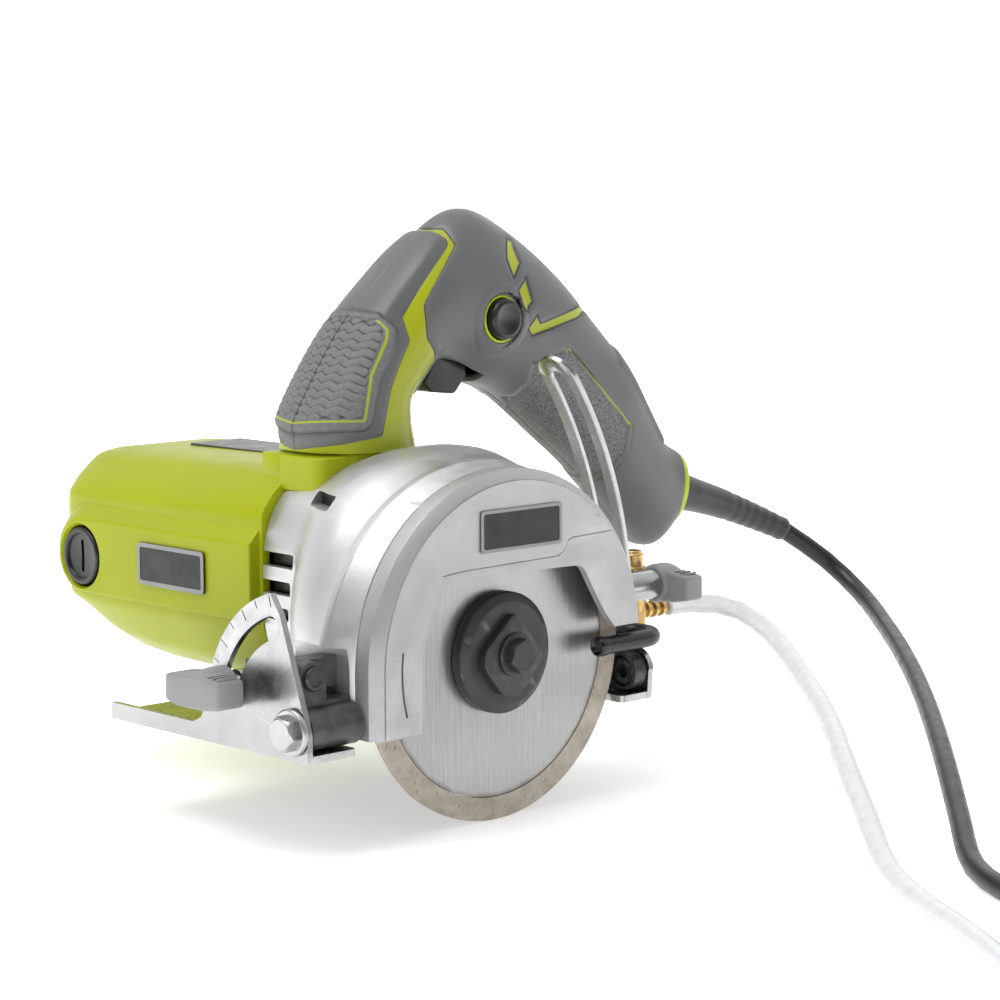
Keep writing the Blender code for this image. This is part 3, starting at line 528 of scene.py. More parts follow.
def loftm(name, rings, mat, body, caps=True, closed=True, **k):
    V = [p for r in rings for p in r]
    n = len(rings[0]); F = []
    for a in range(len(rings) - 1):
        for i in range(n if closed else n - 1):
            j = (i + 1) % n
            F.append((a * n + i, a * n + j, (a + 1) * n + j, (a + 1) * n + i))
    if caps:
        F.append(list(range(n))[::-1]); F.append([(len(rings) - 1) * n + i for i in range(n)])
    return piece(name, V, F, mat, body, **k)


def arc(cx, cz, r, a0, a1, n):
    return [(cx + r * math.cos(math.radians(a0 + (a1 - a0) * i / n)),
             cz + r * math.sin(math.radians(a0 + (a1 - a0) * i / n))) for i in range(n + 1)]


def path(ctrl, step):
    """Catmull-Rom curve through the points, in steps of about `step` mm."""
    p = [Vector(c) for c in ctrl]
    p = [2 * p[0] - p[1]] + p + [2 * p[-1] - p[-2]]
    fine = []
    for i in range(1, len(p) - 2):
        a, b, c, d = p[i - 1:i + 3]
        for k in range(24):
            t = k / 24
            fine.append(0.5 * ((2 * b) + (c - a) * t + (2 * a - 5 * b + 4 * c - d) * t * t
                               + (3 * b - a - 3 * c + d) * t ** 3))
    fine.append(p[-2])
    total = sum((b - a).length for a, b in zip(fine, fine[1:]))
    n = max(2, round(total / step))
    out, want, run = [fine[0]], total / n, 0.0
    for a, b in zip(fine, fine[1:]):
        seg = (b - a).length
        while run + seg >= want - 1e-9 and len(out) < n:
            out.append(a.lerp(b, (want - run) / seg))
            want += total / n
        run += seg
    out.append(fine[-1])
    return out


def tube(name, pts, r, mat, body, res=5, repl=(), link=True, kind="POLY"):
    cu = bpy.data.curves.new(name, "CURVE")
    cu.dimensions = "3D"
    cu.bevel_depth = r * MM
    cu.bevel_resolution = res
    cu.use_fill_caps = True
    sp = cu.splines.new(kind)
    sp.points.add(len(pts) - 1)
    for p, q in zip(sp.points, pts):
        p.co = (*W(*q), 1)
    cu.materials.append(mat)
    o = bpy.data.objects.new(name, cu)
    bpy.context.scene.collection.objects.link(o)
    return own(o, body, repl)


# ------------------------------------------------------------------ cord and hose
CORD_R, HOSE_R = 3.25, 3.2
CCX, CCY, HCX, HCY = 80, -192, 8, -250
COIL_R0, COIL_R1, COIL_H = 26.3, 45.7, 13.2
WX, WY, WZ = 88.5, 26.2, -1.4
cord_route = [(193.8, 49.9, 13.2), (200.1, 47.2, 8.7), (206.8, 41.9, 2.3), (209.3, 33.7, -4.3), (204.5, 20.2, -10.3),
              (192.1, 3.3, -14.2), (169.4, -23.3, -18.3), (145.8, -49, -22.8), (120.3, -74.7, -27.4), (91.6, -102.6, -33.8),
              (65.6, -127.6, -41.2), (45.1, -147.6, -47.2), (34.5, -165, FLOOR + CORD_R + 0.2), (30.0, -180, FLOOR + CORD_R + 0.1),
              (30.2, -195, FLOOR + CORD_R + 0.1)]
hose_route = [(105.4, WY, WZ), (112, 25.8, -1.5), (119.5, 21.5, -1.6), (124.5, 11.5, -3.2), (120.5, -7, -8.8),
              (103.1, -35, -16), (79.7, -66, -22.6), (57.8, -91, -29.2), (38.3, -115, -38), (20.9, -136.9, -46.2),
              (7, -160, FLOOR + HOSE_R + 0.2), (-5.5, -182, FLOOR + HOSE_R + 0.1), (-19, -203, FLOOR + HOSE_R + 0.1),
              (-34.9, -226, FLOOR + HOSE_R + 0.1)]


def coil(cx, cy, a0, first, levels, s1, n=26):
    """Lying coil.  Each level is (turn, radius, height[, width]): the line moves to it round that turn count."""
    pts = []
    for k in range(1, int(s1 * n) + 1):
        s = k / n
        r, z = first
        for lv in levels:
            w = lv[3] if len(lv) > 3 else 0.2
            g = min(1.0, max(0.0, (s - lv[0]) / w + 0.5))
            g = g * g * (3 - 2 * g)
            r, z = r * (1 - g) + lv[1] * g, z * (1 - g) + lv[2] * g
        a = a0 + 2 * math.pi * s
        pts.append((cx + r * math.cos(a), cy + r * math.sin(a), FLOOR + z))
    return pts


def link(pts, end, direction, n=9):
    """The last stretch, up to a fitting and into it."""
    p, e = Vector(pts[-1]), Vector(end)
    a = (p - Vector(pts[-2])).normalized()
    d = Vector(direction).normalized()
    L = (e - p).length
    out = []
    for i in range(1, n + 1):
        t = i / n
        out.append(tuple((2 * t ** 3 - 3 * t ** 2 + 1) * p + (t ** 3 - 2 * t ** 2 + t) * a * L
                         + (3 * t ** 2 - 2 * t ** 3) * e + (t ** 3 - t ** 2) * d * L))
    return out


def plen(p):
    return sum(math.dist(a, b) for a, b in zip(p, p[1:]))


PZ = FLOOR + COIL_H + 0.5


def lead(name, route, centre, levels, s1, end, direction, r, mat, repl, res=6):
    pts = [tuple(p) for p in path(route, 9.5)]
    dx, dy = pts[-1][0] - centre[0], pts[-1][1] - centre[1]
    pts += coil(*centre, math.atan2(dy, dx), (math.hypot(dx, dy), pts[-1][2] - FLOOR), levels, s1)
    pts += link(pts, end, direction)
    return tube(name, pts, r, mat, "tool", res, repl), pts


def plug_xy(x, y):
    ca, sa = math.cos(math.radians(75)), math.sin(math.radians(75))
    return CCX + 34 + x * ca - y * sa, CCY - 16 + x * sa + y * ca


# the mains lead and the water hose: a free run, then a lying coil just outside the view
cord_ob, cord_pts = lead("mains_lead", cord_route, (CCX, CCY),
                         [(0.2, 42.45, 3.35, 0.4), (1, 35.75, 3.35), (2, 29.05, 3.35), (3, 29.05, 10.1),
                          (3.75, 35.75, 10.1), (4.75, 42.45, 10.1), (5.62, 40.5, 16.9, 0.14)], 6.2,
                         (*plug_xy(1.0, 0), PZ + 8), (0.259, 0.966, 0), CORD_R, M_CORD, ("power_cord", "cord_coil"))
hose_ob, hose_pts = lead("water_hose_run", hose_route, (HCX, HCY),
                         [(0.2, 42.4, 3.3, 0.4), (1, 35.8, 3.3), (2, 29.2, 3.3), (3, 29.2, 9.9),
                          (3.75, 35.8, 9.9), (4.55, 35.8, 16.5, 0.14)], 4.77,
                         (HCX - 28.7 - 0.5, HCY + 17.1 - 2, PZ + 7.8), (-0.25, -1, 0), HOSE_R, M_HOSE,
                         ("water_hose", "hose_coil"))
print("LEAD", plen(cord_pts), "HOSE", plen(hose_pts))

# strain relief: ribbed sleeve
sr = path([(141.4, 59.5, 32.6), (153, 59.2, 29.6), (167, 57.8, 25.2), (181, 54.6, 19.6), (193.2, 50.2, 13.8)], 0.9)
rings = []
for i, p in enumerate(sr):
    t = (sr[min(i + 1, len(sr) - 1)] - sr[max(i - 1, 0)]).normalized()
    q = t.to_track_quat("Z", "Y").to_matrix()
    k = i / (len(sr) - 1)
    r = 6.5 - 2.3 * k + 2.6 * math.exp(-k / 0.07)
    if 0.06 < k < 0.95:
        r -= 0.22 * (0.5 + 0.5 * math.cos(k * 2 * math.pi * 13)) * (k > 0.5)
    if k > 0.985:
        r -= 0.6
    rings.append([tuple(p + q @ Vector((min(r, 6.2) * math.cos(a), r * math.sin(a), 0)))
                  for a in [2 * math.pi * j / 40 for j in range(40)]])
relief_ob = loftm("relief_sleeve", rings, M_RELIEF, "tool", repl="strain_relief", slot="dark_rubber", smooth=50)

# plug with two flat pins, and the hose coupling
body_out = rounded([(0, -7), (6, -9.5), (22, -12), (26, -12), (30, -8), (30, 8), (26, 12), (22, 12), (6, 9.5), (0, 7)], 2.5, 3)
plug_ob = prism("plug_body", [plug_xy(*p) for p in body_out], "Z", PZ, PZ + 16, M_BLACKP, "tool", bevel=2.2, seg=4,
                repl="power_plug", slot="black_plastic")
for i, y in enumerate((-6.3, 6.3)):
    o = prism("plug_pin_%d" % i, [plug_xy(*p) for p in rounded([(29.5, y - 0.8), (45, y - 0.8), (45, y + 0.8), (29.5, y + 0.8)], 0.5)],
              "Z", PZ + 5.8, PZ + 12.2, M_BRASS, "tool", bevel=0.3)
collars = [prism("plug_rib_%d" % i, [plug_xy(*p) for p in [(x, -9.2 - 0.25 * x * 0.4), (x + 1.2, -9.2 - 0.25 * x * 0.4),
                                                        (x + 1.2, 9.2 + 0.25 * x * 0.4), (x, 9.2 + 0.25 * x * 0.4)]],
                 "Z", PZ + 0.4, PZ + 15.6, M_RUBBER, "tool", bevel=0.4) for i, x in enumerate((7, 10, 13))]
cup = rnd([(0, 0), (4.4, 0), (5.5, 3.5), (5.5, 16), (7.5, 18), (7.5, 29), (7.0, 30), (5.4, 30), (5.4, 24), (0, 24)], 0.5)
coupling_ob = turned("hose_coupling_body", cup, (-0.25, -1, 0), (HCX - 28.7, HCY + 17.1, PZ + 7.8), M_BRASS, "tool",
                     repl="hose_coupling", slot="brass")

# ------------------------------------------------------------------ motor housing
YC = HANDLE_Y


def clipped(pts, planes):
    """Convex outline cut by half planes (nx, nz, d): keeps nx*x + nz*z <= d."""
    for nx, nz, d in planes:
        out = []
        for i, p in enumerate(pts):
            q = pts[(i + 1) % len(pts)]
            a, b = nx * p[0] + nz * p[1] - d, nx * q[0] + nz * q[1] - d
            if a <= 0:
                out.append(p)
            if a * b < 0:
                t = a / (a - b)
                out.append((p[0] + t * (q[0] - p[0]), p[1] + t * (q[1] - p[1])))
        pts = out
    return pts


def resample(pts, n):
    P = np.array(pts + [pts[0]], float)
    L = np.r_[0, np.cumsum(np.linalg.norm(np.diff(P, axis=0), axis=1))]
    s = np.linspace(0, L[-1], n, endpoint=False)
    return [(float(np.interp(v, L, P[:, 0])), float(np.interp(v, L, P[:, 1]))) for v in s]


def motor_outline(w, top, bot, k=1.0, n=160):
    """Faceted shell section: flat sides with broad chamfers, softened corners."""
    h = [(-w, 3.5), (-w, top - 13.5 * k), (-w + 4.2 * k, top - 8.2 * k), (-w + 12.5 * k, top - 1.4 * k), (-w + 20 * k, top),
         (w - 20 * k, top), (w - 12.5 * k, top - 1.4 * k), (w - 4.2 * k, top - 8.2 * k), (w, top - 13.5 * k), (w, 3.5),
         (w - 10 * k, bot + 7 * k), (w - 21 * k, bot), (-w + 21 * k, bot), (-w + 10 * k, bot + 7 * k)]
    h = rounded(h, [3, 2.2, 1.6, 3, 5, 5, 3, 1.6, 2.2, 3, 3, 5, 5, 3], 5)
    i = min(range(len(h)), key=lambda j: (abs(h[j][1] - 18) if h[j][0] < 0 else 99))
    h = h[i:] + h[:i]
    return resample(h, n)


msec = [(SEAM_Y + 0.15, 39.4, 53.4, -17.4), (SEAM_Y + 0.5, 40.2, 53.9, -17.9), (SEAM_Y + 1.6, 40.4, 54.0, -18.0),
        (95, 40.3, 53.4, -18.0), (135, 40.0, 53.0, -17.5), (150, 39.8, 52.8, -16.2), (158, 39.6, 52.6, -14.4), (163, 39.4, 52.4, -12.4),
        (166.5, 39.0, 52.1, -10.4), (169, 38.4, 51.6, -8.6), (170.8, 37.2, 50.6, -7.0), (171.8, 35.2, 48.8, -5.6)]
rings = [[(x, y, z) for x, z in motor_outline(w, t, b, 1)] for y, w, t, b in msec]
rings.append([(x * 0.5, 172.0, 18 + (z - 18) * 0.5) for x, z in motor_outline(34, 47.6, -5, 1)])
motor = loftm("motor_shell", rings, None, None, smooth=24)


def boss(s):
    def out(z0, z1, y0, cut=0.0):
        r, zc, yc = (z1 - z0) / 2 - cut, (z0 + z1) / 2, 155.2
        q = arc(yc, zc, r, -90, 90, 40)
        return [(y0 + cut, zc - r), (y0 + 20, zc - r)] + q + [(y0 + 20, zc + r), (y0 + cut, zc + r)]
    rows = [(30, out(4.8, 35.6, 63.6)), (39.6, out(4.8, 35.6, 63.6)), (40.1, out(5.0, 35.3, 63.7)), (43.1, out(5.9, 31.7, 64.1)), (43.7, out(6.1, 31.2, 64.2)),
            (44.0, out(6.3, 30.8, 64.3, 0.25)), (44.05, out(6.3, 30.8, 64.3, 0.8))]
    return loftm("boss_%d" % s, [[(s * x, y, z) for y, z in o] for x, o in rows], None, None, smooth=24)


dish = [turned("dish_%d" % s, [(0, -14), (10.4, -14), (10.4, 2.0), (11.2, 3.2), (11.2, 12), (0, 12)], (s, 0, 0),
               (s * 41.0, 155, MOTOR_Z), None, None, n=64) for s in (-1, 1)]
cav = loftm("motor_cavity", [[(x, y, z) for x, z in motor_outline(w, t, b, 0.95)] for y, w, t, b in (
    (58, 37.6, 51, -14.5), (95, 37, 50, -15), (135, 36, 49.5, -14.5), (160, 33.5, 47, -10.5), (169, 29.5, 43.5, -6.5))], None, None)
motor = combine(motor, [boss(-1), boss(1)], "UNION")
slots = []
for i, z in enumerate((-4, 3, 10)):
    o = prism("mv_%d" % i, rounded([(-12, z), (12, z), (12, z + 3), (-12, z + 3)], 1.4), "Y", 166, 178, None, None)
    slots.append(o)
motor = combine(motor, dish + [cav] + slots, "DIFFERENCE", 24)
mpad = prism("mp", [(-30, 45), (8, 45), (8, 58.2), (-30, 58.2)], "Y", SEAM_Y + 0.15, 75, None, None)
add_bevel(mpad, 0.8)
motor = combine(motor, [mpad], "UNION", 24, M_GREEN, "tool", ("motor_housing",))

# raised plain label field on the top, and a bevelled blank plate on the boss
box("top_label", (-4, 100, 52.4), (17.5, 146, 53.75), surf("label_film", (0.1, 0.1, 0.1), 0.35, var=0.2, grain=800, depth=0.00001), "tool", 0.15, 2)
for nm, lo, hi, cn in (("boss_plate", (-44.9, 86.4, 12.5), (-44.12, 121.5, 26.2), "motor_badge"),):
    pts = rounded([(lo[1], lo[2]), (hi[1], lo[2]), (hi[1], hi[2]), (lo[1], hi[2])], 1.6)
    prism(nm, pts, "X", lo[0], hi[0], M_BADGE, "tool", bevel=0.5, seg=3, repl=cn, slot="black_plastic")
    inn = [(lo[1] + 1.4, lo[2] + 1.4), (hi[1] - 1.4, lo[2] + 1.4), (hi[1] - 1.4, hi[2] - 1.4), (lo[1] + 1.4, hi[2] - 1.4)]
    prism(nm + "_bezel", rounded(pts, 0), "X", lo[0] - 0.18, lo[0] + 0.1, M_KNOB, "tool", holes=[rounded(inn, 1.0)], bevel=0.08)

for tag, s in (("front", -1), ("rear", 1)):
    p = (s * 40.6, 155, MOTOR_Z)
    ringp = rnd([(0, -3.0), (9.7, -3.0), (9.7, 3.1), (9.2, 3.6), (8.0, 3.6), (7.5, 3.1), (7.5, 2.5), (0, 2.2)], 0.3, 3)
    cap = turned("cap_" + tag, ringp, (s, 0, 0), p, None, None, n=64)
    sl = box("cs", (p[0] + s * 1.4 - 1.2, 155 - 0.75, MOTOR_Z - 5.4), (p[0] + s * 1.4 + 1.2, 155 + 0.75, MOTOR_Z + 5.4), None, None, 0.1)
    combine(cap, [sl], "DIFFERENCE", 30, M_BLACKP, "tool", ("brush_cap_" + tag,))

# ------------------------------------------------------------------ gear case
def case_section(y, w, top, bot, zc, nu, nl, n=168):
    out = []
    for k in range(n):
        t = 2 * math.pi * k / n
        c, s = math.cos(t), math.sin(t)
        e = nu if s >= 0 else nl
        h = (top - zc) if s >= 0 else (zc - bot)
        out.append((w * math.copysign(abs(c) ** (2 / e), c), y, zc + h * math.copysign(abs(s) ** (2 / e), s)))
    return out


csec = [(-0.7, 56.6, 56.2, -15.5, -1, 2, 8), (-0.4, 57, 56.6, -15.8, -1, 2, 8), (7.4, 61.6, 57.8, -15.8, -3.8, 2, 8),
        (7.9, 62.1, 58.1, -15.8, -4, 2, 8), (8.6, 62.2, 58.2, -15.8, -4, 2, 8), (10.2, 62.2, 58.2, -15.8, -4, 2, 8),
        (10.9, 62.0, 58.2, -15.8, -3.9, 2, 8), (11.4, 61.2, 58.0, -15.8, -3.5, 2, 8), (12.5, 60.6, 58.0, -15.8, -3, 2.02, 8),
        (18, 59.4, 59.8, -15.8, -2.6, 2.15, 8), (25, 58, 61.2, -15.8, -2, 2.3, 8), (30, 55, 61.2, -15.8, 1, 2.35, 7),
        (36, 51, 60.2, -16, 5, 2.4, 6), (40, 46.2, 58.9, -16.5, 10, 2.55, 5), (43, 43.2, 57.8, -17, 14, 2.7, 4),
        (48, 41.8, 56.6, -17.2, 15.5, 2.75, 3.6), (61.0, 41, 54.6, -17.5, 18, 2.8, 3), (61.5, 40.8, 54.4, -17.3, 18, 2.8, 3),
        (SEAM_Y - 0.15, 40.2, 53.8, -16.9, 18, 2.8, 3)]
case = loftm("gear_case", [case_section(*s) for s in csec], None, None, smooth=26)
hol = loftm("ch", [case_section(*s, n=96) for s in (
    (12.4, 50, 48, -11, -1, 2.1, 6), (25, 53.5, 56, -11, -2, 2.3, 6), (36, 47, 56, -12, 5, 2.4, 5),
    (43, 39.4, 54.2, -13.4, 14, 2.7, 4), (SEAM_Y + 3, 37.6, 51, -14, 18, 2.8, 3))], None, None)
cuts = [hol,
        prism("c1", arc(0, 0, 54.4, 0, 180, 90) + [(-54.4, -40), (54.4, -40)], "Y", -3, 4.3, None, None),
        turned("c2", [(0, -11), (13.2, -11), (13.2, 11), (0, 11)], "Y", (0, 8, 0), None, None, n=64),
        turned("c3", [(0, -7), (13.9, -7), (13.9, 7), (0, 7)], "Y", (0, 19.4, 0), None, None, n=64),
        prism("c4", [(49.5, -4), (80, -4), (80, 22), (49.5, 22)], "Z", -40, -4.9, None, None),
        prism("c5", [(-80, -4), (-57.6, -4), (-57.6, 35.5), (-80, 35.5)], "Z", -40, 7.6, None, None),
        prism("c6", [(34, -4), (80, -4), (80, 11.4), (34, 11.4)], "Z", -7, 1.6, None, None)]
case = combine(case, cuts, "DIFFERENCE", 26)
lugo = prism("lug", arc(*PIVOT, 4.4, 90, 270, 24) + [(-54, -3.6), (-54, 5.2)], "Y", 6.4, 13.6, None, None)
prism("foot_block", rounded([(-32, 43.6), (9, 43.6), (9, SEAM_Y + 1.5), (-32, SEAM_Y + 1.5)], [5, 4, 0.6, 0.6], 6), "Z", 47.2, 58.2, M_GREEN, "tool", bevel=0.8)
cb = turned("cb", rnd([(0, -2), (5.4, -2), (5.4, 6.0), (4.9, 6.5), (0, 6.5)], 0.4), "X", (56, *STUD_R), None, None, n=48)
case = combine(case, [cb], "UNION", 26)
lugo = combine(lugo, [turned("ph", [(0, -9), (2.8, -9), (2.8, 9), (0, 9)], "Y", (PIVOT[0], 10, PIVOT[1]), None, None, n=32)], "DIFFERENCE", 30,
               M_BLACK, "tool")
VENTS = ((8, 12, 48, 66), (16, 20.3, 46.5, 66), (24.5, 29, 45, 66), (44.3, 48.6, 28, 43.6))
vents = [prism("v%d" % i, rounded([(y0, z0), (y1, z0), (y1, z1), (y0, z1)], 1.1), "X", -60, 60, None, None)
         for i, (z0, z1, y0, y1) in enumerate(VENTS)]
vents.append(turned("pinh", [(0, -9), (2.8, -9), (2.8, 9), (0, 9)], "Y", (PIVOT[0], 10, PIVOT[1]), None, None, n=32))
case = combine(case, vents, "DIFFERENCE", 26, M_ALU, "tool", ("gear_housing",))
add_bevel(case, 0.25, 1, 40)
# painted shade: black cards behind the vents stand in for the shade inside the case
for q in (-1, 1):
    for z0, z1, y0, y1 in VENTS:
        xo = 36.4 if z0 < 30 else 31.5
        box("vent_shade_card_%d_%d" % (q + 1, int(z0)), (min(q * (xo - 1.2), q * xo), y0 - 1, z0 - 0.8), (max(q * (xo - 1.2), q * xo), min(y1, 61.8) + 0.0, z1 + 0.8),
            M_BLACKP, "tool", 0.2)

# ------------------------------------------------------------------ blade guard
GR = 56.8
win = [(-37.6, -13.3), (-37.3, 8), (-30, 22.3), (-28, 26.3), (26.4, 24.7), (29, 23.6),
       (33.8, 15.6), (38.3, 8.6), (42.6, 3.6)]
a_end = math.degrees(math.asin(3.6 / GR))
winr = rnd(win, 1.5, 4)[1:-1]
CH = 3.4
a_in = math.degrees(math.asin(3.6 / (GR - CH)))
outer_o = arc(0, 0, GR, a_end, 180, 110) + [(-GR, -19), (-43.5, -19), win[0]] + winr + [win[-1]]
inner_o = arc(0, 0, GR - CH, a_in, 180, 110) + [(-(GR - CH), -19), (-43.5, -19), win[0]] + winr + [win[-1]]
n = len(outer_o)


def ringy(o, y):
    return [(x, y, z) for x, z in o]


soft = []
for k, (a, b) in enumerate(((0.0, 0), (0.06, 0.02), (0.16, 0.1))):
    soft.append([(xi + (xo - xi) * a, -10.0 + CH * b, zi + (zo - zi) * a) for (xi, zi), (xo, zo) in zip(inner_o, outer_o)])
more = []
for a, b in ((0.9, 0.84), (0.97, 0.93), (1.0, 1.06)):
    more.append([(xi + (xo - xi) * a, -10.0 + CH * b, zi + (zo - zi) * a) for (xi, zi), (xo, zo) in zip(inner_o, outer_o)])
guard = loftm("guard_cover", soft + more + [ringy(outer_o, -1.35), [(x * 0.995, -1.0, z * 0.995 if z > 0 else z) for x, z in outer_o]],
              None, None, smooth=24)
gcav = prism("gc", arc(0, 0, 54.0, 0, 180, 90) + [(-54.0, -30), (54.0, -30)], "Y", -7.5, 4, None, None)
rect = lambda a, b, c, d: [(a, b), (c, b), (c, d), (a, d)]
groove = prism("gg", arc(0, 0, 47.3, 172, 196, 20) + arc(0, 0, 46.5, 196, 172, 20), "Y", -12, -9.5, None, None)
guard = combine(guard, [gcav, groove], "DIFFERENCE", 24)
stepped = [(-30.2, 27.6), (-22.0, 28.3), (17.6, 28.9), (19.8, 30.0), (21.8, 33.2), (23.8, 34.0), (60.0, 35.2), (60, 60), (-60, 60),
           (-60, -18.6), (-39, -18.6), (-38.6, 8.4), (-31.4, 22.8)]
ribs = [prism("gr0", stepped, "Y", -10.6, -9.0, None, None)]
add_bevel(ribs[0], 0.3, 2)
inside_rim = prism("ir", arc(0, 0, GR - CH - 0.1, 0, 180, 120) + [(-(GR - CH - 0.1), -19), (20, -19)], "Y", -12, -7, None, None)
ledge = [prism("ledge%d" % i, [(x0, z0), (x1, z0 - 0.3), (x1, z0 + 0.9), (x0, z0 + 0.8)], "Y", -12, -10.2, None, None)
         for i, (x0, x1, z0) in enumerate(((29.5, 43, 43.4), (33.5, 47, 39.6)))]
ribs = [combine(combine(ribs[0], [inside_rim], "INTERSECT"), ledge, "DIFFERENCE")]
groove2 = prism("gg2", arc(0, 0, 47.3, 172, 196, 20) + arc(0, 0, 46.5, 196, 172, 20), "Y", -12, -9.5, None, None)
ribs = [combine(ribs[0], [groove2], "DIFFERENCE")]
lines = []
for i, (a, b) in enumerate(zip(stepped[:6], stepped[1:6] + [(41.5, 34.6)])):
    ln = math.hypot(b[0] - a[0], b[1] - a[1])
    tx, tz = (b[0] - a[0]) / ln, (b[1] - a[1]) / ln
    a, b = (a[0] - tx * 0.25, a[1] - tz * 0.25), (b[0] + tx * 0.25, b[1] + tz * 0.25)
    lines.append(prism("gl%d" % i, [(a[0] + tz * 0.5, a[1] - tx * 0.5), (b[0] + tz * 0.5, b[1] - tx * 0.5), (b[0] - tz * 0.06, b[1] + tx * 0.06),
                                    (a[0] - tz * 0.06, a[1] + tx * 0.06)], "Y", -12, -9.55, None, None))
guard = combine(guard, ribs, "UNION")
guard = combine(guard, lines, "DIFFERENCE", 24, M_GUARD, "tool", ("blade_guard",))
pts = rounded(rect(-15.5, 32.5, 18.4, 45.4), 1.2)
prism("guard_plate", pts, "Y", -11.0, -10.55, M_BADGE, "tool", bevel=0.3, seg=3, repl="guard_badge", slot="black_plastic")
prism("guard_plate_bezel", pts, "Y", -11.2, -10.9, M_KNOB, "tool", holes=[rounded(rect(-14.4, 33.6, 17.3, 44.3), 0.9)], bevel=0.1)

# ------------------------------------------------------------------ blade and its clamping
RR = BLADE_R - RIM_W
turned("blade_disc", [(8.0, 0.8), (RR - 0.15, 0.8), (RR - 0.15, -0.8), (8.0, -0.8)], "Y", (0, 0, 0), M_BLADE, "blade", n=200,
       closed=True, repl="blade_core", slot="steel", smooth=24)
turned("blade_rim", rnd([(RR + 0.1, -1.0), (RR + 0.1, 1.0), (BLADE_R - 0.15, 1.0), (BLADE_R, 0.85), (BLADE_R, -0.85), (BLADE_R - 0.15, -1.0),
                         (RR + 0.1, -1.0)], 0.05, 1)[:-1], "Y", (0, 0, 0), M_GRIT, "blade", n=240, closed=True,
       repl="diamond_rim", slot="diamond_rim", smooth=30)
turned("flange_inner", rnd([(7.9, 0.9), (17.0, 0.9), (17.4, 0.5), (17.4, -1.0), (17.0, -1.4), (7.9, -1.4)], 0.3)[:],
       "Y", (0, 2.7, 0), M_SATIN, "blade", n=96, closed=True, repl="inner_flange", slot="black_steel")
fp = rnd([(4.2, -6.45), (13.0, -6.45), (16.0, -6.45), (16.6, -6.1), (18.4, -5.0), (18.8, -4.5), (18.8, -1.5), (18.4, -1.1), (8, -1.1), (4.2, -1.1)], 0.25, 2)
fl = turned("flange_outer", fp, "Y", (0, 0, 0), None, None, n=128, closed=True)
loz = [(-2.3, 10.6), (-0.5, 12.2), (1.6, 12.2), (3.6, 9.6), (11.2, 0.3), (12.2, -1.2), (11.9, -2.9), (10.6, -4.2), (6.2, -9.2), (2.2, -12.5),
       (0.2, -13.0), (-4.9, -11.9), (-10.3, -5.6), (-11.5, -3.9), (-12.3, -1.8), (-12.2, 0.6), (-11.5, 2.5)]
lz = prism("lz", rounded(loz, 1.2, 3), "Y", -9.1, -4, None, None)
add_bevel(lz, 0.35, 2)
fl = combine(fl, [lz], "UNION", 30)
fh = turned("fh", [(0, -12), (4.2, -12), (4.2, 2), (0, 2)], "Y", (0, 0, 0), None, None, n=48)
combine(fl, [fh], "DIFFERENCE", 30, M_SATIN, "blade", ("outer_flange",))
wash = turned("bw", rnd([(0, -10.6), (6.4, -10.6), (6.8, -10.3), (6.8, -9.5), (3.7, -9.5), (3.7, 8), (0, 8)], 0.2), "Y", (0, 0, 0), None, None, n=64)
hexo = [(5.3 * math.cos(math.radians(60 * i + 18)), 5.3 * math.sin(math.radians(60 * i + 18))) for i in range(6)]
hx = prism("hx", hexo, "Y", -13.7, -10.4, None, None)
cone = turned("hc", rnd([(0, -13.8), (4.4, -13.8), (5.6, -12.9), (5.9, -12), (5.9, -10), (0, -10)], 0.2), "Y", (0, 0, 0), None, None, n=64)
hx = combine(hx, [cone], "INTERSECT")
bolt = combine(wash, [hx], "UNION")
combine(bolt, [], "UNION", 16, M_SATIN, "blade", ("blade_bolt",))

# ------------------------------------------------------------------ handle
STATIONS = [(-27, 58.6, 12, 58.6, 17.0), (-24.8, 66.5, 10.3, 66.5, 16.6), (-17, 79, 10.2, 74.5, 16.0),
            (-6, 93.5, 16, 81, 15.6), (9, 109, 22.5, 86.5, 15.6), (24, 122.5, 31, 85, 16.0),
            (40, 131, 42, 79.5, 16.6), (57, 124.5, 54, 75, 16.5), (78, 110.5, 65.5, 67.5, 15.6),
            (95, 95, 80, 56.5, 14.6), (108.5, 80, 94.5, 45.5, 14.0), (119.5, 64.5, 107, 34, 12.6),
            (129, 51.5, 118.5, 22.5, 11.2), (134.5, 47.6, 127, 16.5, 10.0), (139, 45.3, 134.2, 21.2, 9.2)]
ST = np.array(STATIONS, float)


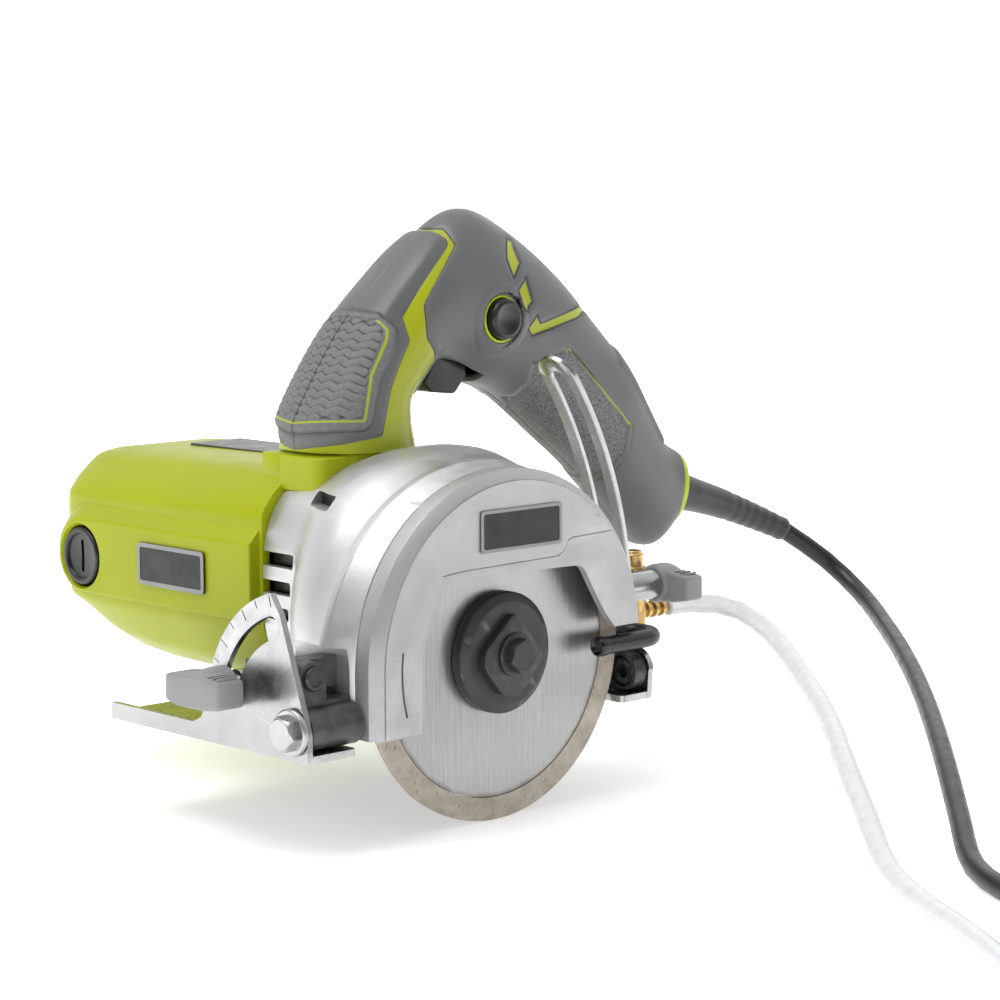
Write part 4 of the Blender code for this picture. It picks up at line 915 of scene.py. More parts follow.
def skin(u, th, off=0.0):
    """Handle surface for arrays: th 0 outer crown, 90 the -Y side, 180 the inner side.  Returns points and outward normals."""
    u, th = np.broadcast_arrays(np.asarray(u, float), np.asarray(th, float))
    rear = np.clip((u - 4.2) / 1.2, 0, 1) * np.clip((10.6 - u) / 1.8, 0, 1)
    e = np.where(th < 90, 2.5 - 0.65 * rear * rear * (3 - 2 * rear), 2.5)
    i = np.minimum(u.astype(int), len(ST) - 2)
    t = (u - i)[..., None]
    g = lambda k: ST[np.clip(k, 0, len(ST) - 1)]
    a, b, c, d = g(i - 1), g(i), g(i + 1), g(i + 2)
    s = 0.5 * (2 * b + (c - a) * t + (2 * a - 5 * b + 4 * c - d) * t * t + (3 * b - a - 3 * c + d) * t ** 3)
    ox, oz, ix, iz, hb = (s[..., k] for k in range(5))
    nx, nz = ox - ix, oz - iz
    L = np.hypot(nx, nz)
    nx, nz = nx / L, nz / L
    r = np.radians(th)
    co, si = np.cos(r), np.sin(r)
    ca, sa = np.sign(co) * np.abs(co) ** (2 / e), np.sign(si) * np.abs(si) ** (2 / e)
    A, B = L / 2, hb
    k, y = A * ca, B * sa
    # outward direction of the superellipse
    gx = np.sign(ca) * np.abs(ca) ** (e - 1) / A
    gy = np.sign(sa) * np.abs(sa) ** (e - 1) / B
    gl = np.hypot(gx, gy) + 1e-12
    gx, gy = gx / gl, gy / gl
    k, y = k + gx * off, y + gy * off
    P = np.stack([(ox + ix) / 2 + nx * k, HANDLE_Y - y, (oz + iz) / 2 + nz * k], -1)
    N = np.stack([nx * gx, -gy, nz * gx], -1)
    return P, N


def sdist(Q, poly, closed=True):
    """Signed distance (negative inside) of points (n, 2) to a polygon, or plain distance to a line."""
    P = np.array(poly, float)
    A = P if closed else P[:-1]
    B = np.roll(P, -1, 0) if closed else P[1:]
    best = np.full(len(Q), 1e9)
    inside = np.zeros(len(Q), bool)
    for a, b in zip(A, B):
        ab = b - a
        t = np.clip(((Q - a) @ ab) / max(ab @ ab, 1e-9), 0, 1)
        best = np.minimum(best, np.linalg.norm(Q - a - t[:, None] * ab, axis=1))
        if closed:
            c = (a[1] > Q[:, 1]) != (b[1] > Q[:, 1])
            with np.errstate(divide="ignore", invalid="ignore"):
                xc = a[0] + (Q[:, 1] - a[1]) * (b[0] - a[0]) / (b[1] - a[1])
            inside ^= c & (Q[:, 0] < xc)
    return np.where(inside, -best, best) if closed else best


KPX = 3.25
G_FOOT = [(240, 540), (240, 452), (280, 452), (299.1, 449.2), (340, 443.5), (378, 434.8), (381.2, 415.7), (386, 390.2), (393.9, 367.8),
          (405.9, 340.7), (404.3, 336), (400.3, 320), (441.8, 252.3), (442.6, 248.3), (437, 242.7), (425.8, 240.3),
          (417, 241.1), (405, 243), (410, 236), (426.6, 233.9), (445, 233.9), (448.9, 238.7), (454.8, 249.1),
          (424.2, 304.1), (422.6, 308.9), (423.4, 337.6), (429, 347.1), (429.8, 356.7), (429, 363.1), (423.4, 383.8),
          (440, 400), (470, 430), (470, 540)]
PADP = [(230, 432), (290, 428.5), (304.6, 427.8), (358.9, 423.7), (361.5, 421), (366, 401.3), (371.6, 379), (387.6, 345.5), (389.9, 336),
        (381.2, 325.6), (362, 322.5), (340, 321), (320, 320), (280, 330)]
STRIP = [(330, 312), (417, 241), (430, 242), (438.6, 246.7), (392.3, 315.2), (387.5, 323.2), (340, 316)]
FACET = [(438.6, 246.7), (441.8, 251.5), (400.3, 319.5), (404, 338), (395, 330), (387.5, 323.2), (392.3, 315.2)]
ACC = [[(502, 242.7), (506.8, 245.9), (509.2, 253), (514.8, 265.8), (509.2, 279.4), (502, 261), (501.6, 248.3)],
       [(520.4, 278.6), (527.6, 301.7), (520.4, 312), (517.2, 305.7), (512.4, 292.9), (519.6, 281.7)],
       [(532.3, 315.2), (535.5, 323.2), (573.8, 308.9), (578.6, 314.4), (572.2, 320), (538.7, 331.2), (527.6, 335.2),
        (523.6, 328), (530.7, 318.4)]]
PANEL = [(527.8, 359.3), (562.3, 347.8), (566, 350.5), (625.4, 425.3), (622.5, 451.1), (610.1, 465.5), (592, 474), (570, 475),
         (470, 372), (484, 378.4), (487.7, 380.4), (501, 389.9), (512.5, 389), (525, 376.5)]
PANEL_LINE = [(560, 346.6), (564.5, 347.6), (568, 350.5), (627.6, 425), (624.6, 452), (611.6, 467), (592.4, 476), (575, 477)]
BACKPAD = [(589, 337), (600, 330), (640, 376), (668, 425), (660, 420), (641, 409), (634, 404), (590, 343)]
TAILG = [(610, 520), (620.6, 522.9), (628, 530), (633, 543), (627, 551), (612, 545)]
BAND = [(405, 262), (470, 236), (500, 240), (500, 262), (512, 300), (524, 335), (560, 340), (556, 348), (520, 352), (470, 352), (430, 340), (428, 306)]


def smooth01(x):
    x = np.clip(x, 0, 1)
    return x * x * (3 - 2 * x)


def hand(tag, s):
    nu, nt = 760, 140
    u = np.linspace(0.0, 13.98, nu)
    th = np.linspace(0.25, 179.75, nt)
    U, T = np.meshgrid(u, th, indexing="ij")
    P, N = skin(U.ravel(), T.ravel())
    Uf, Tf = U.ravel(), T.ravel()
    Q = drawn(P)
    face = (N @ (CAM / np.linalg.norm(CAM)))
    away = np.maximum(0, -0.02 - face) * 30.0          # hidden side: the drawing does not say
    d = {}
    foot = sdist(Q, G_FOOT) / KPX
    low = np.where(face > 0, 9.0, (Uf - 2.2) * 9.0)
    d["green"] = np.where(face > -0.02, foot, low)
    pad = sdist(Q, PADP) / KPX + away
    pad = np.maximum(pad, (Tf - 88) * 0.3)
    d["pad"] = pad
    strip = sdist(Q, STRIP) / KPX + away
    acc = np.full(len(Q), 9.0)
    for a in ACC:
        acc = np.minimum(acc, sdist(Q, a) / KPX)
    acc = np.where(face > 0.05, acc, 9.0)
    d["acc"] = acc
    panel = np.where(face > 0.0, sdist(Q, PANEL) / KPX, np.abs(Tf - 138) * 0.3 + 0.5)
    d["panel"] = np.minimum(panel, 9.0)
    d["pline"] = np.where(face > 0.0, sdist(Q, PANEL_LINE, False) / KPX, 9.0)
    back = np.where(face > -0.35, sdist(Q, BACKPAD) / KPX, 9.0)
    crown = np.maximum(np.maximum((Tf - 44) * 0.28, (9.75 - Uf) * 17), (Uf - 11.75) * 17)
    back = np.minimum(crown, 9.0)
    d["back"] = back
    tg = np.where(face > 0, sdist(Q, TAILG) / KPX, 9.0)
    # inner face of the tail: green strip under the lead
    d["green"] = np.minimum(d["green"], tg)
    grn = d["green"]
    # relief of the surface
    h = np.zeros(len(Q))
    h -= 0.45 * smooth01(0.5 - grn / 1.5)
    h -= 0.25 * np.exp(-((grn - 0.2) / 0.55) ** 2)
    h += 1.9 * smooth01(0.5 - (pad - 0.5) / 1.6)
    h += 0.9 * smooth01((88 - Tf) / 40) * smooth01((4.6 - Uf) / 1.6) * smooth01(Uf / 0.8) * smooth01((grn - 0.5) / 3)
    across = np.abs((((P[:, 1] - HANDLE_Y) / 4.4) % 1.0) - 0.5) * 4.4
    ridge = P[:, 2] * 0.93 + across * 0.5
    tread = np.clip(np.abs(((ridge / 2.15) % 1.0) - 0.5) * 2.6 - 0.3, 0, 1)
    h += 0.3 * tread * smooth01((-pad - 1.5) / 0.5)
    h += 1.7 * smooth01(0.5 - (strip - 0.7) / 2.4)
    d["tread"] = tread * smooth01((-pad - 1.5) / 0.5)
    h -= 0.45 * smooth01(0.5 - acc / 0.6)
    h -= 0.3 * np.exp(-((acc - 0.45) / 0.35) ** 2)
    h -= 0.55 * smooth01(0.5 - (panel + 0.15) / 0.8)
    h -= 0.35 * np.exp(-((d["pline"]) / 0.4) ** 2)
    h += 1.0 * smooth01(0.5 - (back - 0.2) / 0.9)
    h -= 0.45 * np.exp(-((back - 1.0) / 0.4) ** 2)
    bd = np.hypot(P[:, 0] - 43, P[:, 2] - 98)
    # soft mound round the lock button
    if s > 0:
        h += np.where(P[:, 1] < HANDLE_Y - 8, 0.7 * smooth01((11.6 - bd) / 2.4), 0)
    # parting line
    h -= 0.25 * np.exp(-((Tf - 0.25) / 0.55) ** 2) * (pad > 0.3) + 0.25 * np.exp(-((179.75 - Tf) / 0.55) ** 2)
    P = P + N * h[:, None]
    d["uu"] = Uf
    if s < 0:
        P = P.copy(); P[:, 1] = 2 * HANDLE_Y - P[:, 1]
    idx = np.arange(nu * nt).reshape(nu, nt)
    a, b, c, e = idx[:-1, :-1], idx[1:, :-1], idx[1:, 1:], idx[:-1, 1:]
    F = np.stack([a, b, c, e], -1).reshape(-1, 4)
    if s < 0:
        F = F[:, ::-1]
    um = (U[:-1, :-1]).ravel(); tm = (T[:-1, :-1]).ravel()
    cen = P[F].mean(1)
    drop = (cen[:, 0] > 14) & (cen[:, 0] < 43) & (cen[:, 2] > 66) & (cen[:, 2] < 97) & (tm > 152.5) & (um > 3.28) & (um < 6.12)
    if s > 0:
        drop |= (np.hypot(cen[:, 0] - 43, cen[:, 2] - 98) < 8.6) & (cen[:, 1] < HANDLE_Y - 8)
    F = F[~drop]
    me = bpy.data.meshes.new("handle_shell_" + tag)
    V = (P + O3) * MM
    me.from_pydata([tuple(v) for v in V], [], [tuple(int(i) for i in f) for f in F])
    for k, v in d.items():
        at = me.attributes.new(k, "FLOAT", "POINT")
        at.data.foreach_set("value", np.clip(v, -20, 20).astype(np.float32))
    me.shade_smooth()
    me.materials.append(M_HANDLE)
    o = bpy.data.objects.new("handle_shell_" + tag, me)
    bpy.context.scene.collection.objects.link(o)
    so = o.modifiers.new("Solidify", "SOLIDIFY")
    so.thickness, so.offset, so.use_even_offset = 2.4 * MM, -1, False
    return o


def attr(t, name):
    a = t.nodes.new("ShaderNodeAttribute")
    a.attribute_name = name
    return a.outputs["Fac"]


def mask(t, val, edge=0.0, soft=0.08):
    return rng(t, val, 1, 0, edge - soft, edge + soft)


def handle_mat():
    m = bpy.data.materials.new("handle_two_tone")
    t, b = nodes_of(m)
    v = mapped(t)
    big, fine, mid = noise(t, v, 30), noise(t, v, 2600, 2.0), noise(t, v, 900, 3.0, 0.7)
    grey = mixc(t, rng(t, big, 0, 1), (0.108, 0.109, 0.113), (0.132, 0.133, 0.137))
    padc = mixc(t, rng(t, mid, 0, 1), (0.13, 0.13, 0.133), (0.19, 0.19, 0.193))
    panc = mixc(t, rng(t, noise(t, v, 1500, 3.0, 0.8), 0, 1, 0.4, 0.6), (0.075, 0.076, 0.08), (0.22, 0.222, 0.226))
    grn = mixc(t, rng(t, big, 0, 1), tuple(c * 0.95 for c in GREEN_C), tuple(c * 1.05 for c in GREEN_C))
    mp, mn, mb = mask(t, attr(t, "pad")), mask(t, attr(t, "panel")), mask(t, attr(t, "back"))
    mg = mth(t, "MAXIMUM", mask(t, attr(t, "green")), mask(t, attr(t, "acc")))
    pl = mth(t, "MULTIPLY", mask(t, attr(t, "pline"), 0.33), 1.0)
    po = mth(t, "MULTIPLY", mask(t, mth(t, "ABSOLUTE", mth(t, "ADD", attr(t, "pad"), 0.75)), 0.24), 1.0)
    tr = attr(t, "tread")
    # painted shade: the low grooves between the pad's tread ridges are coloured near black
    padc = mixc(t, mth(t, "MULTIPLY", rng(t, tr, 1, 0, 0.05, 0.6), mask(t, mth(t, "ADD", attr(t, "pad"), 1.6)), True), padc, (0.035, 0.035, 0.037))
    col = mixc(t, mp, grey, padc)
    col = mixc(t, mn, col, panc)
    col = mixc(t, mb, col, padc)
    mg = mth(t, "MAXIMUM", mth(t, "MAXIMUM", mg, pl), po)
    col = mixc(t, mg, col, grn)
    # painted shade: near-black lines along the grooves at the edges of the green, accent, back-pad and pad areas
    near = lambda k, at, w: mask(t, mth(t, "ABSOLUTE", mth(t, "SUBTRACT", attr(t, k), at)), w)
    dark = mth(t, "MAXIMUM", mth(t, "MAXIMUM", near("green", 0.25, 0.3), near("acc", 0.4, 0.3)),
               mth(t, "MAXIMUM", near("back", 0.8, 0.35), mth(t, "MULTIPLY", near("pad", 0.35, 0.25), 0.6)))
    col = mixc(t, mth(t, "MULTIPLY", dark, 0.85), col, (0.018, 0.019, 0.014))
    t.links.new(col, b.inputs["Base Color"])
    soft = mth(t, "MAXIMUM", mth(t, "MAXIMUM", mp, mn), mb)
    rough = rng(t, noise(t, v, 90), 0.36, 0.46)
    rough = mth(t, "ADD", rough, mth(t, "MULTIPLY", soft, 0.16))
    rough = mth(t, "SUBTRACT", rough, mth(t, "MULTIPLY", mg, 0.07))
    t.links.new(rough, b.inputs["Roughness"])
    hgt = mth(t, "ADD", mth(t, "MULTIPLY", fine, 0.25), mth(t, "MULTIPLY", mth(t, "MULTIPLY", mid, soft), 2.4))
    bump(t, b, hgt, 0.00005)
    return m


M_HANDLE = handle_mat()
hl = hand("left", 1)
own(hl, "tool", ("handle_left", "grip_left", "side_grip_panel", "front_grip_pad", "rear_grip_pad"))
hr = hand("right", -1)
ths = np.linspace(0, 360, 97)[:-1]
foot = []
for z, off in ((58.9, 0.1), (58.5, 0.8), (57.9, 1.05), (54, 1.9), (50, 2.9), (45.5, 3.6)):
    q, _ = skin(np.zeros(96), np.where(ths > 180, 360 - ths, ths), off)
    y = np.where(ths > 180, 2 * HANDLE_Y - q[:, 1], q[:, 1])
    foot.append([(x, yy, z) for x, yy in zip(q[:, 0], y)])
loftm("handle_foot", foot, M_GREEN, "tool", smooth=30)
own(hr, "tool", ("handle_right", "grip_right"))

# lock button, its ring and soft collar; trigger; tail ring
M_GREY = surf("grip_grey", (0.118, 0.119, 0.123), 0.42, var=0.08, rvar=0.05, grain=2600, depth=0.00002, blotch=30)
turned("button_collar", rnd([(7.7, 43.2), (7.7, 41.6), (8.2, 41.3), (9.6, 41.9), (11.0, 42.9), (11.6, 44.6), (9, 46)], 0.4), (0, 1, 0),
       (43, 0, 98), M_GREY, "tool", n=96, closed=True, smooth=60)
turned("button_ring", rnd([(7.75, 46.0), (7.75, 41.3), (7.5, 41.0), (7.1, 41.0), (6.85, 41.3), (6.85, 46.0)], 0.15), (0, 1, 0), (43, 0, 98),
       M_GREENT, "tool", n=96, closed=True, repl="lock_button_ring", slot="green_plastic")
turned("button_cap", rnd([(0, 51.5), (5.0, 51.5), (5.0, 46.0), (6.6, 46.0), (6.6, 39.2), (6.3, 38.5), (5.4, 38.0), (4.6, 38.1), (3.4, 38.6),
                          (1.6, 38.9), (0, 39.0)], 0.35), (0, 1, 0), (43, 0, 98), M_BLACKP, "lock_button", n=96,
       repl="lock_button", slot="dark_rubber", smooth=50)
tp = rounded([(19.5, 78.2), (22.3, 74.8), (33, 73.6), (38.6, 79.8), (36.6, 86), (25, 86)], [1, 1.2, 1.4, 1.6, 1, 1], 4)
prism("trigger_lever", tp, "Y", 52.9, 66.1, M_BLACKP, "trigger", bevel=0.7, seg=3, repl="trigger", slot="black_plastic")
TAIL, TAIL_DIR = (139.6, HANDLE_Y, 33.0), (0.978, 0.0, -0.208)
oval = []
oval.append(turned("tail_collar", rnd([(13.6, 1.3), (13.3, 1.7), (12.4, 2.0), (8.5, 1.3), (8.5, -1.2), (12.4, -1.2), (13.3, -0.8), (13.6, -0.5)], 0.3),
       TAIL_DIR, TAIL, M_GREENT, "tool", n=96, closed=True, repl="tail_ring", slot="green_plastic"))
oval.append(turned("tail_boot", rnd([(12.3, -0.8), (12.3, 1.0), (10.8, 3.2), (8.7, 4.6), (8.6, -0.8)], 0.5), TAIL_DIR, TAIL, M_RELIEF, "tool",
                   n=96, closed=True))
for o in oval:
    for v in o.data.vertices:
        v.co.y = (HANDLE_Y + DY) * MM + (v.co.y - (HANDLE_Y + DY) * MM) * 0.74

# ------------------------------------------------------------------ depth bracket and pivot
bx, bz = PIVOT
nose = arc(0, BEVEL_Z, 6.3, 90, 270, 28)


def cyl(name, axis, a, b, r, n=40):
    k = "XYZ".index(axis)
    return turned(name, [(0, 0), (r, 0), (r, b[k] - a[k]), (0, b[k] - a[k])], axis, a, None, None, n=n)


def block(name, lo, hi):
    return prism(name, rect2(lo[0], lo[1], hi[0], hi[1]), "Z", lo[2], hi[2], None, None)


def rect2(a, b, c, d):
    return [(a, b), (c, b), (c, d), (a, d)]


fb = prism("fb", [(21, -20), (21, -7.2), (20.2, -6.1), (0, -6.1)] + nose, "X", -77.2, -58.2, None, None)
ear = arc(bx, bz, 5.1, 0, 180, 28) + [(-77.1, -8), (-66.9, -8)]
br = combine(fb, [prism("e1", ear, "Y", 0.1, 6, None, None), prism("e2", ear, "Y", 14, 20.8, None, None),
                  block("sb", (-69.7, 19.7, -19.8), (-61.5, 34, 2.2)), block("bar", (-61, 12.2, -19.9), (58, 20.9, -16.4)),
                  prism("rb", [(21.1, -20.1), (21.1, -8), (20.2, -6.9), (0, -6.9)] + nose, "X", 56, 61, None, None),
                  prism("af", [(60, -8.2), (60, -19.7)] + arc(bx, bz, 139.1, -8.4, -3.7, 6), "Y", 9.5, 20.7, None, None)],
             "UNION")
br = combine(br, [cyl("h1", "X", (-90, 0, BEVEL_Z), (-64, 0, BEVEL_Z), 3.3), cyl("h2", "X", (45, 0, BEVEL_Z), (70, 0, BEVEL_Z), 3.3),
                  cyl("h3", "X", (45, 0, BEVEL_Z), (59.7, 0, BEVEL_Z), 5.0), cyl("h4", "Y", (bx, -4, bz), (bx, 24, bz), 2.8),
                  cyl("h5", "X", (-75, *STUD_F), (-59, *STUD_F), 3.3)], "DIFFERENCE", 30, M_BLACK, "depth_frame", ("depth_bracket",))
add_bevel(br, 0.45, 2, 40)
turned("pivot_pin", rnd([(0, 21.6), (2.5, 21.6), (2.5, -0.3), (3.6, -0.3), (3.6, -1.1), (3.1, -1.6), (2.2, -1.7), (1.9, -1.2), (0, -1.2)], 0.2),
       "Y", (bx, 0, bz), M_SATIN, "depth_frame", n=64, repl="depth_pin", slot="black_steel")

# slotted depth arm: thin plated strip with rolled edges
R0a, R1a = 139.5, 141.5
ang = np.radians(np.linspace(-8, 38, 70))


def stadium(s0, s1, hw, square, n):
    """Outline in (run, width): a slot shape, with a square foot if asked; starts at the middle of its lower end."""
    pts = [(s0, 0.0), (s0, hw)] if square else arc(s0 + hw, 0, hw, 180, 90, 14)
    pts += [(s1 - hw - 0.01, hw)] + arc(s1 - hw, 0, hw, 90, -90, 28)
    pts += [(s0, -hw)] if square else arc(s0 + hw, 0, hw, -90, -180, 14)[:-1]
    return resample(pts, n)


RA = 140.5
an, na = 240, (R1a - R0a) / 2
oo = stadium(math.radians(-8) * RA, math.radians(38) * RA, 7.6, True, an)
ii = stadium(math.radians(0.2) * RA, math.radians(35.8) * RA, 3.4, False, an)


def bent(pts, r):
    return [(bx + r * math.cos(q / RA), 15.2 + w, bz + r * math.sin(q / RA)) for q, w in pts]


def inset(pts, k, other):
    return [(a[0] + (b[0] - a[0]) * k, a[1] + (b[1] - a[1]) * k) for a, b in zip(pts, other)]


ring_rows = [bent(oo, R0a + 0.35), bent(inset(oo, 0.08, ii), R0a), bent(inset(ii, 0.08, oo), R0a), bent(ii, R0a + 0.35), bent(ii, R1a - 0.35),
             bent(inset(ii, 0.08, oo), R1a), bent(inset(oo, 0.08, ii), R1a), bent(oo, R1a - 0.35)]
loftm("slotted_arm", ring_rows + ring_rows[:1], M_CHROME, "depth_frame", caps=False, repl="rear_arm", slot="plated_steel", smooth=40)

turned("stud_front", rnd([(0, 25.2), (3, 25.2), (3, 15.2), (4.6, 15.2), (4.6, 8.0), (3, 8.0), (3, 0), (0, 0)], 0.25),
       (-1, 0, 0), (-62, *STUD_F), M_CHROME, "depth_frame", n=56, repl="front_stud", slot="plated_steel")
turned("stud_rear", rnd([(0, 30.2), (3, 30.2), (3, 22.8), (5, 22.8), (5, 6.9), (3, 6.9), (3, 0), (0, 0)], 0.25),
       (1, 0, 0), (62.9, *STUD_R), M_CHROME, "tool", n=56, repl="rear_stud", slot="plated_steel")


def wing(name, s, y0, z0, x0, body, repl):
    """Clamp lever with a hub, a tapering wing and three thumb ribs."""
    bpyx = lambda a: x0 + s * a
    if s < 0:
        xa, xb, ylo, yhi, zlo, zhi = -95.0, -85.0, 15.2, 40.7, -8.8, 1.2
        prof = [(ylo, zlo + 1.0), (y0 - 6, zlo), (y0 + 6, zlo), (yhi, zlo + 1.1), (yhi, zhi - 0.9), (y0 + 5, zhi), (y0 - 5, zhi), (ylo, zhi - 0.9)]
    else:
        xa, xb, ylo, yhi, zlo, zhi = 87.0, 95.0, 0.3, 18.2, 3.5, 14.2
        prof = [(ylo, zlo + 1.7), (y0 - 7, zlo + 0.3), (yhi, zlo), (yhi, zhi), (y0 - 7, zhi - 0.2), (ylo, zhi - 1.0)]
    o = prism(name, rounded(prof, 1.4, 4), "X", xa, xb, None, None)
    add_bevel(o, 1.1, 3)
    hub = turned("hub", rnd([(0, 0), (5.4, 0), (6.4, 1.0), (6.4, 6.2), (6.0, 8.6), (4.6, 11.5), (0, 12)], 0.5), (s, 0, 0), (x0, y0, z0), None, None, n=64)
    parts = [hub]
    ys = (ylo + 1.6, ylo + 4.0, ylo + 6.4)
    for i, y in enumerate(ys):
        r = prism("r%d" % i, rounded(rect2(xa + 1.6, y, xb - 1.6, y + 1.1), 0.4, 2), "Z", zhi - 2.5, zhi - 0.25 + 0.35, None, None)
        parts.append(r)
    o = combine(o, parts, "UNION")
    lo, hi = sorted((x0 - s, x0 + s * 7.6))
    cuts = [cyl("b", "X", (lo, y0, z0), (hi, y0, z0), 3.3)]
    if s > 0:
        cuts.append(turned("hh", [(0, -5), (1.5, -5), (1.5, 5), (0, 5)], "Z", (91, 3.2, 13), None, None, n=32))
    return combine(o, cuts, "DIFFERENCE", 34, M_KNOB, body, (repl,))


wing("wing_front", -1, *STUD_F, -80.3, "front_knob", "front_knob")
wing("wing_rear", 1, *STUD_R, 86.1, "rear_knob", "rear_knob")

# ------------------------------------------------------------------ base plate
bo = [(-79.5, -6.2), (-60.8, -6.2), (-60.8, 8), (-57.8, 12), (50, 12), (50, -6.2), (63.4, -6.2), (63.4, 89), (-79.5, 89)]
bo = rounded(bo, [1.0, 2, 3, 3, 3, 2, 0.8, 9, 9], 6)
bp = prism("bp", bo, "Z", BASE_BOT, BASE_TOP, None, None)
slot = arc(0, BEVEL_Z, 34.2, 11.5, 72, 40) + [
    ((0 + 30.8 * math.cos(math.radians(72)) + 3.4 * math.cos(math.radians(72 + a))), (BEVEL_Z + 30.8 * math.sin(math.radians(72)) + 3.4 * math.sin(math.radians(72 + a))))
    for a in range(15, 180, 15)] + arc(0, BEVEL_Z, 27.4, 72, 11.5, 40) + [
    ((0 + 30.8 * math.cos(math.radians(11.5)) + 3.4 * math.cos(math.radians(11.5 + a))), (BEVEL_Z + 30.8 * math.sin(math.radians(11.5)) + 3.4 * math.sin(math.radians(11.5 + a))))
    for a in range(195, 360, 15)]
face = ([(-6.2, BASE_BOT), (89, BASE_BOT), (89, -17.4), (47.5, -17.4), (43.5, -15.5), (41.6, -12), (40.5, -6)]
        + arc(0, BEVEL_Z, 40.5, 14, 76, 40) + [(7.2, 22.0), (5.6, 20), (-4.9, -9.4), (-6.2, -14)])
ROT = 6.3
earo = [(-6.2, BASE_BOT), (7.4, BASE_BOT), (7.4, BEVEL_Z)] + arc(0, BEVEL_Z, 7.2, 0, 180, 32)[1:-1] + [(-6.8, BEVEL_Z)]
bp = combine(bp, [prism("qd", face, "X", -79.5, -77.5, None, None, holes=(slot, arc(0, BEVEL_Z, 3.3, 0, 360, 40)[:-1])),
                  prism("re", earo, "X", 61.4, 63.4, None, None, holes=(arc(0, BEVEL_Z, 3.3, 0, 360, 40)[:-1],))], "UNION")
marks = []
for k, a in enumerate(range(15, 76, 10)):
    ca, sa = math.cos(math.radians(a)), math.sin(math.radians(a))
    L = 3.6 if k % 2 == 0 else 2.4
    p = [(40.2, -0.22), (40.2 - L, -0.22), (40.2 - L, 0.22), (40.2, 0.22)]
    marks.append(prism("m%d" % k, [(x * ca - z * sa, BEVEL_Z + x * sa + z * ca) for x, z in p], "X", -80.2, -79.28, None, None))
bp = combine(bp, marks, "DIFFERENCE", 30, M_CHROME, "base", ("base_plate",))
add_bevel(bp, 0.35, 2, 40)
bf = turned("bf", rnd([(0, 15.9), (6.6, 15.9), (7.0, 15.6), (7.0, 14.3), (2.9, 14.3), (2.9, 0), (0, 0)], 0.2),
            (-1, 0, 0), (-65.5, 0, BEVEL_Z), None, None, n=72)
hb = prism("hb", [(5.4 * math.cos(math.radians(60 * i + 12)), BEVEL_Z + 5.4 * math.sin(math.radians(60 * i + 12))) for i in range(6)], "X", -85, -81, None, None)
hcn = turned("hcn", rnd([(0, 19.3), (4.5, 19.3), (5.4, 18.2), (5.8, 17), (5.8, 14), (0, 14)], 0.2), (-1, 0, 0), (-65.5, 0, BEVEL_Z), None, None, n=64)
hb = combine(hb, [hcn], "INTERSECT")
combine(bf, [hb], "UNION", 30, M_STEEL, "base", ("bevel_bolt_front",))
brr = turned("brr", rnd([(0, 8.6), (4.1, 8.6), (4.6, 8.1), (4.6, 5.6), (2.9, 5.6), (2.9, -0.4), (0, -0.4)], 0.2), (-1, 0, 0), (65, 0, BEVEL_Z),
             None, None, n=72)
hexs = turned("hs", [(0, 6.2), (2.5, 6.2), (2.5, 12), (0, 12)], (-1, 0, 0), (65, 0, BEVEL_Z), None, None, n=6)
combine(brr, [hexs], "DIFFERENCE", 30, M_SATIN, "base", ("bevel_bolt_rear",))

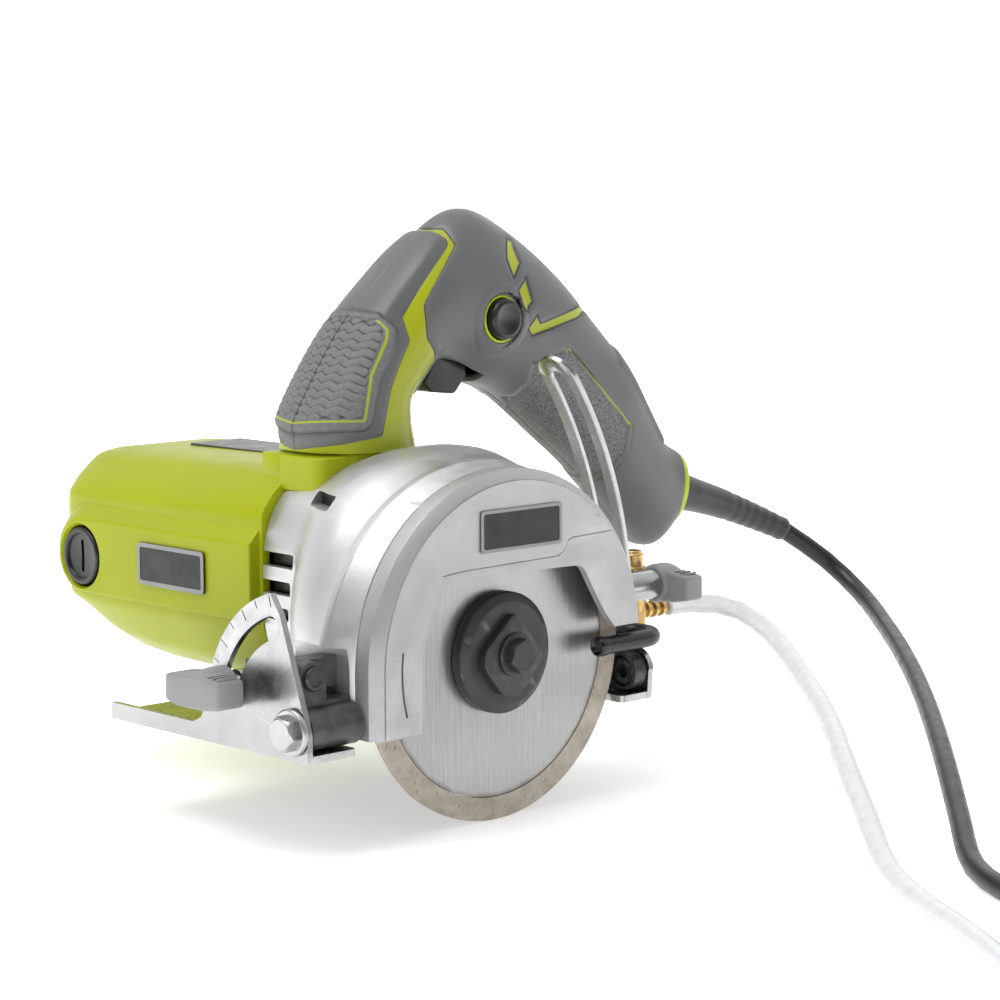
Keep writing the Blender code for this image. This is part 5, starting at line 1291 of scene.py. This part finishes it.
# ------------------------------------------------------------------ water feed
fit = turned("fitting_post", rnd([(0, 19.5), (2.6, 19.5), (3.0, 19.1), (3.0, 18.6), (3.6, 18.2), (3.6, 14), (4.4, 14), (4.4, 7.6), (3.9, 7.2), (3.9, 4.6),
                                  (4.4, 4.2), (4.4, -5.2), (4.0, -5.6), (0, -5.6)], 0.2), "Z", (WX, WY, 0), M_BRASS, "tool", n=72,
             repl="water_fitting", slot="brass")
barb = [(1.2, 16), (1.9, 16), (2.9, 12.6), (2.9, 12.3), (2.1, 12.1), (2.9, 9.1), (2.9, 8.8), (2.1, 8.6), (2.9, 5.6), (2.9, 5.3), (2.1, 5.1), (2.1, 4.2), (1.2, 4.2)]
turned("fitting_barb", barb, "X", (WX, WY, WZ), M_BRASS, "tool", n=56, closed=True)
pp = [(0, -30.2), (2.4, -30.2), (2.4, -5.2), (3.3, -4.8), (3.3, -4.0), (0, -4.0)]
turned("fitting_pipe", rnd(pp, 0.15), "X", (WX, WY, WZ), M_BRASS, "tool", n=48)
NZ, NX, NY = -2.6, 59.0, 7.5
noz = ([(38 + 3.5 * i, -NY, NZ) for i in range(7)] + [(x, y, NZ) for x, y in arc(NX, 0, NY, -90, 90, 28)]
       + [(55 - 2.75 * i, NY, NZ) for i in range(5)])
tube("nozzle_tube", noz, 2.9, M_BLACKP, "tool", 8, ("water_nozzle",))
for i, (y, sgn) in enumerate(((-NY, -1), (NY, 1))):
    turned("nozzle_tip_%d" % i, rnd([(1.3, 0.6), (2.6, -1.2), (3.15, -0.6), (3.15, 2.4), (1.3, 2.4)], 0.2), (1, 0, 0), (38 if i == 0 else 44, y, NZ),
           M_BLACKP, "tool", n=48, closed=True)

# ------------------------------------------------------------------ the parts inside keep their CAD shape
INSIDE = {"motor_bearing_rear": M_STEEL, "stator": M_STEEL, "bearing_plate": M_ALU, "armature_shaft": M_STEEL, "armature_core": M_STEEL,
          "commutator": M_COPPER, "cooling_fan": M_BLACKP, "brush_holder_front": M_BRASS, "brush_holder_rear": M_BRASS,
          "carbon_brush_front": M_CARBON, "carbon_brush_rear": M_CARBON, "spindle": M_STEEL, "spindle_bearing": M_STEEL,
          "driven_gear": M_STEEL, "switch_body": M_BLACKP, "trigger_spring": M_STEEL}
for nm, mt in INSIDE.items():
    me = NODES[nm].data
    me.materials.clear()
    me.materials.append(mt)
    mod = NODES[nm].modifiers.new("Bevel", "BEVEL")
    mod.width, mod.segments, mod.limit_method, mod.angle_limit = 0.15 * MM, 1, "ANGLE", math.radians(50)

lo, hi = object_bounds()
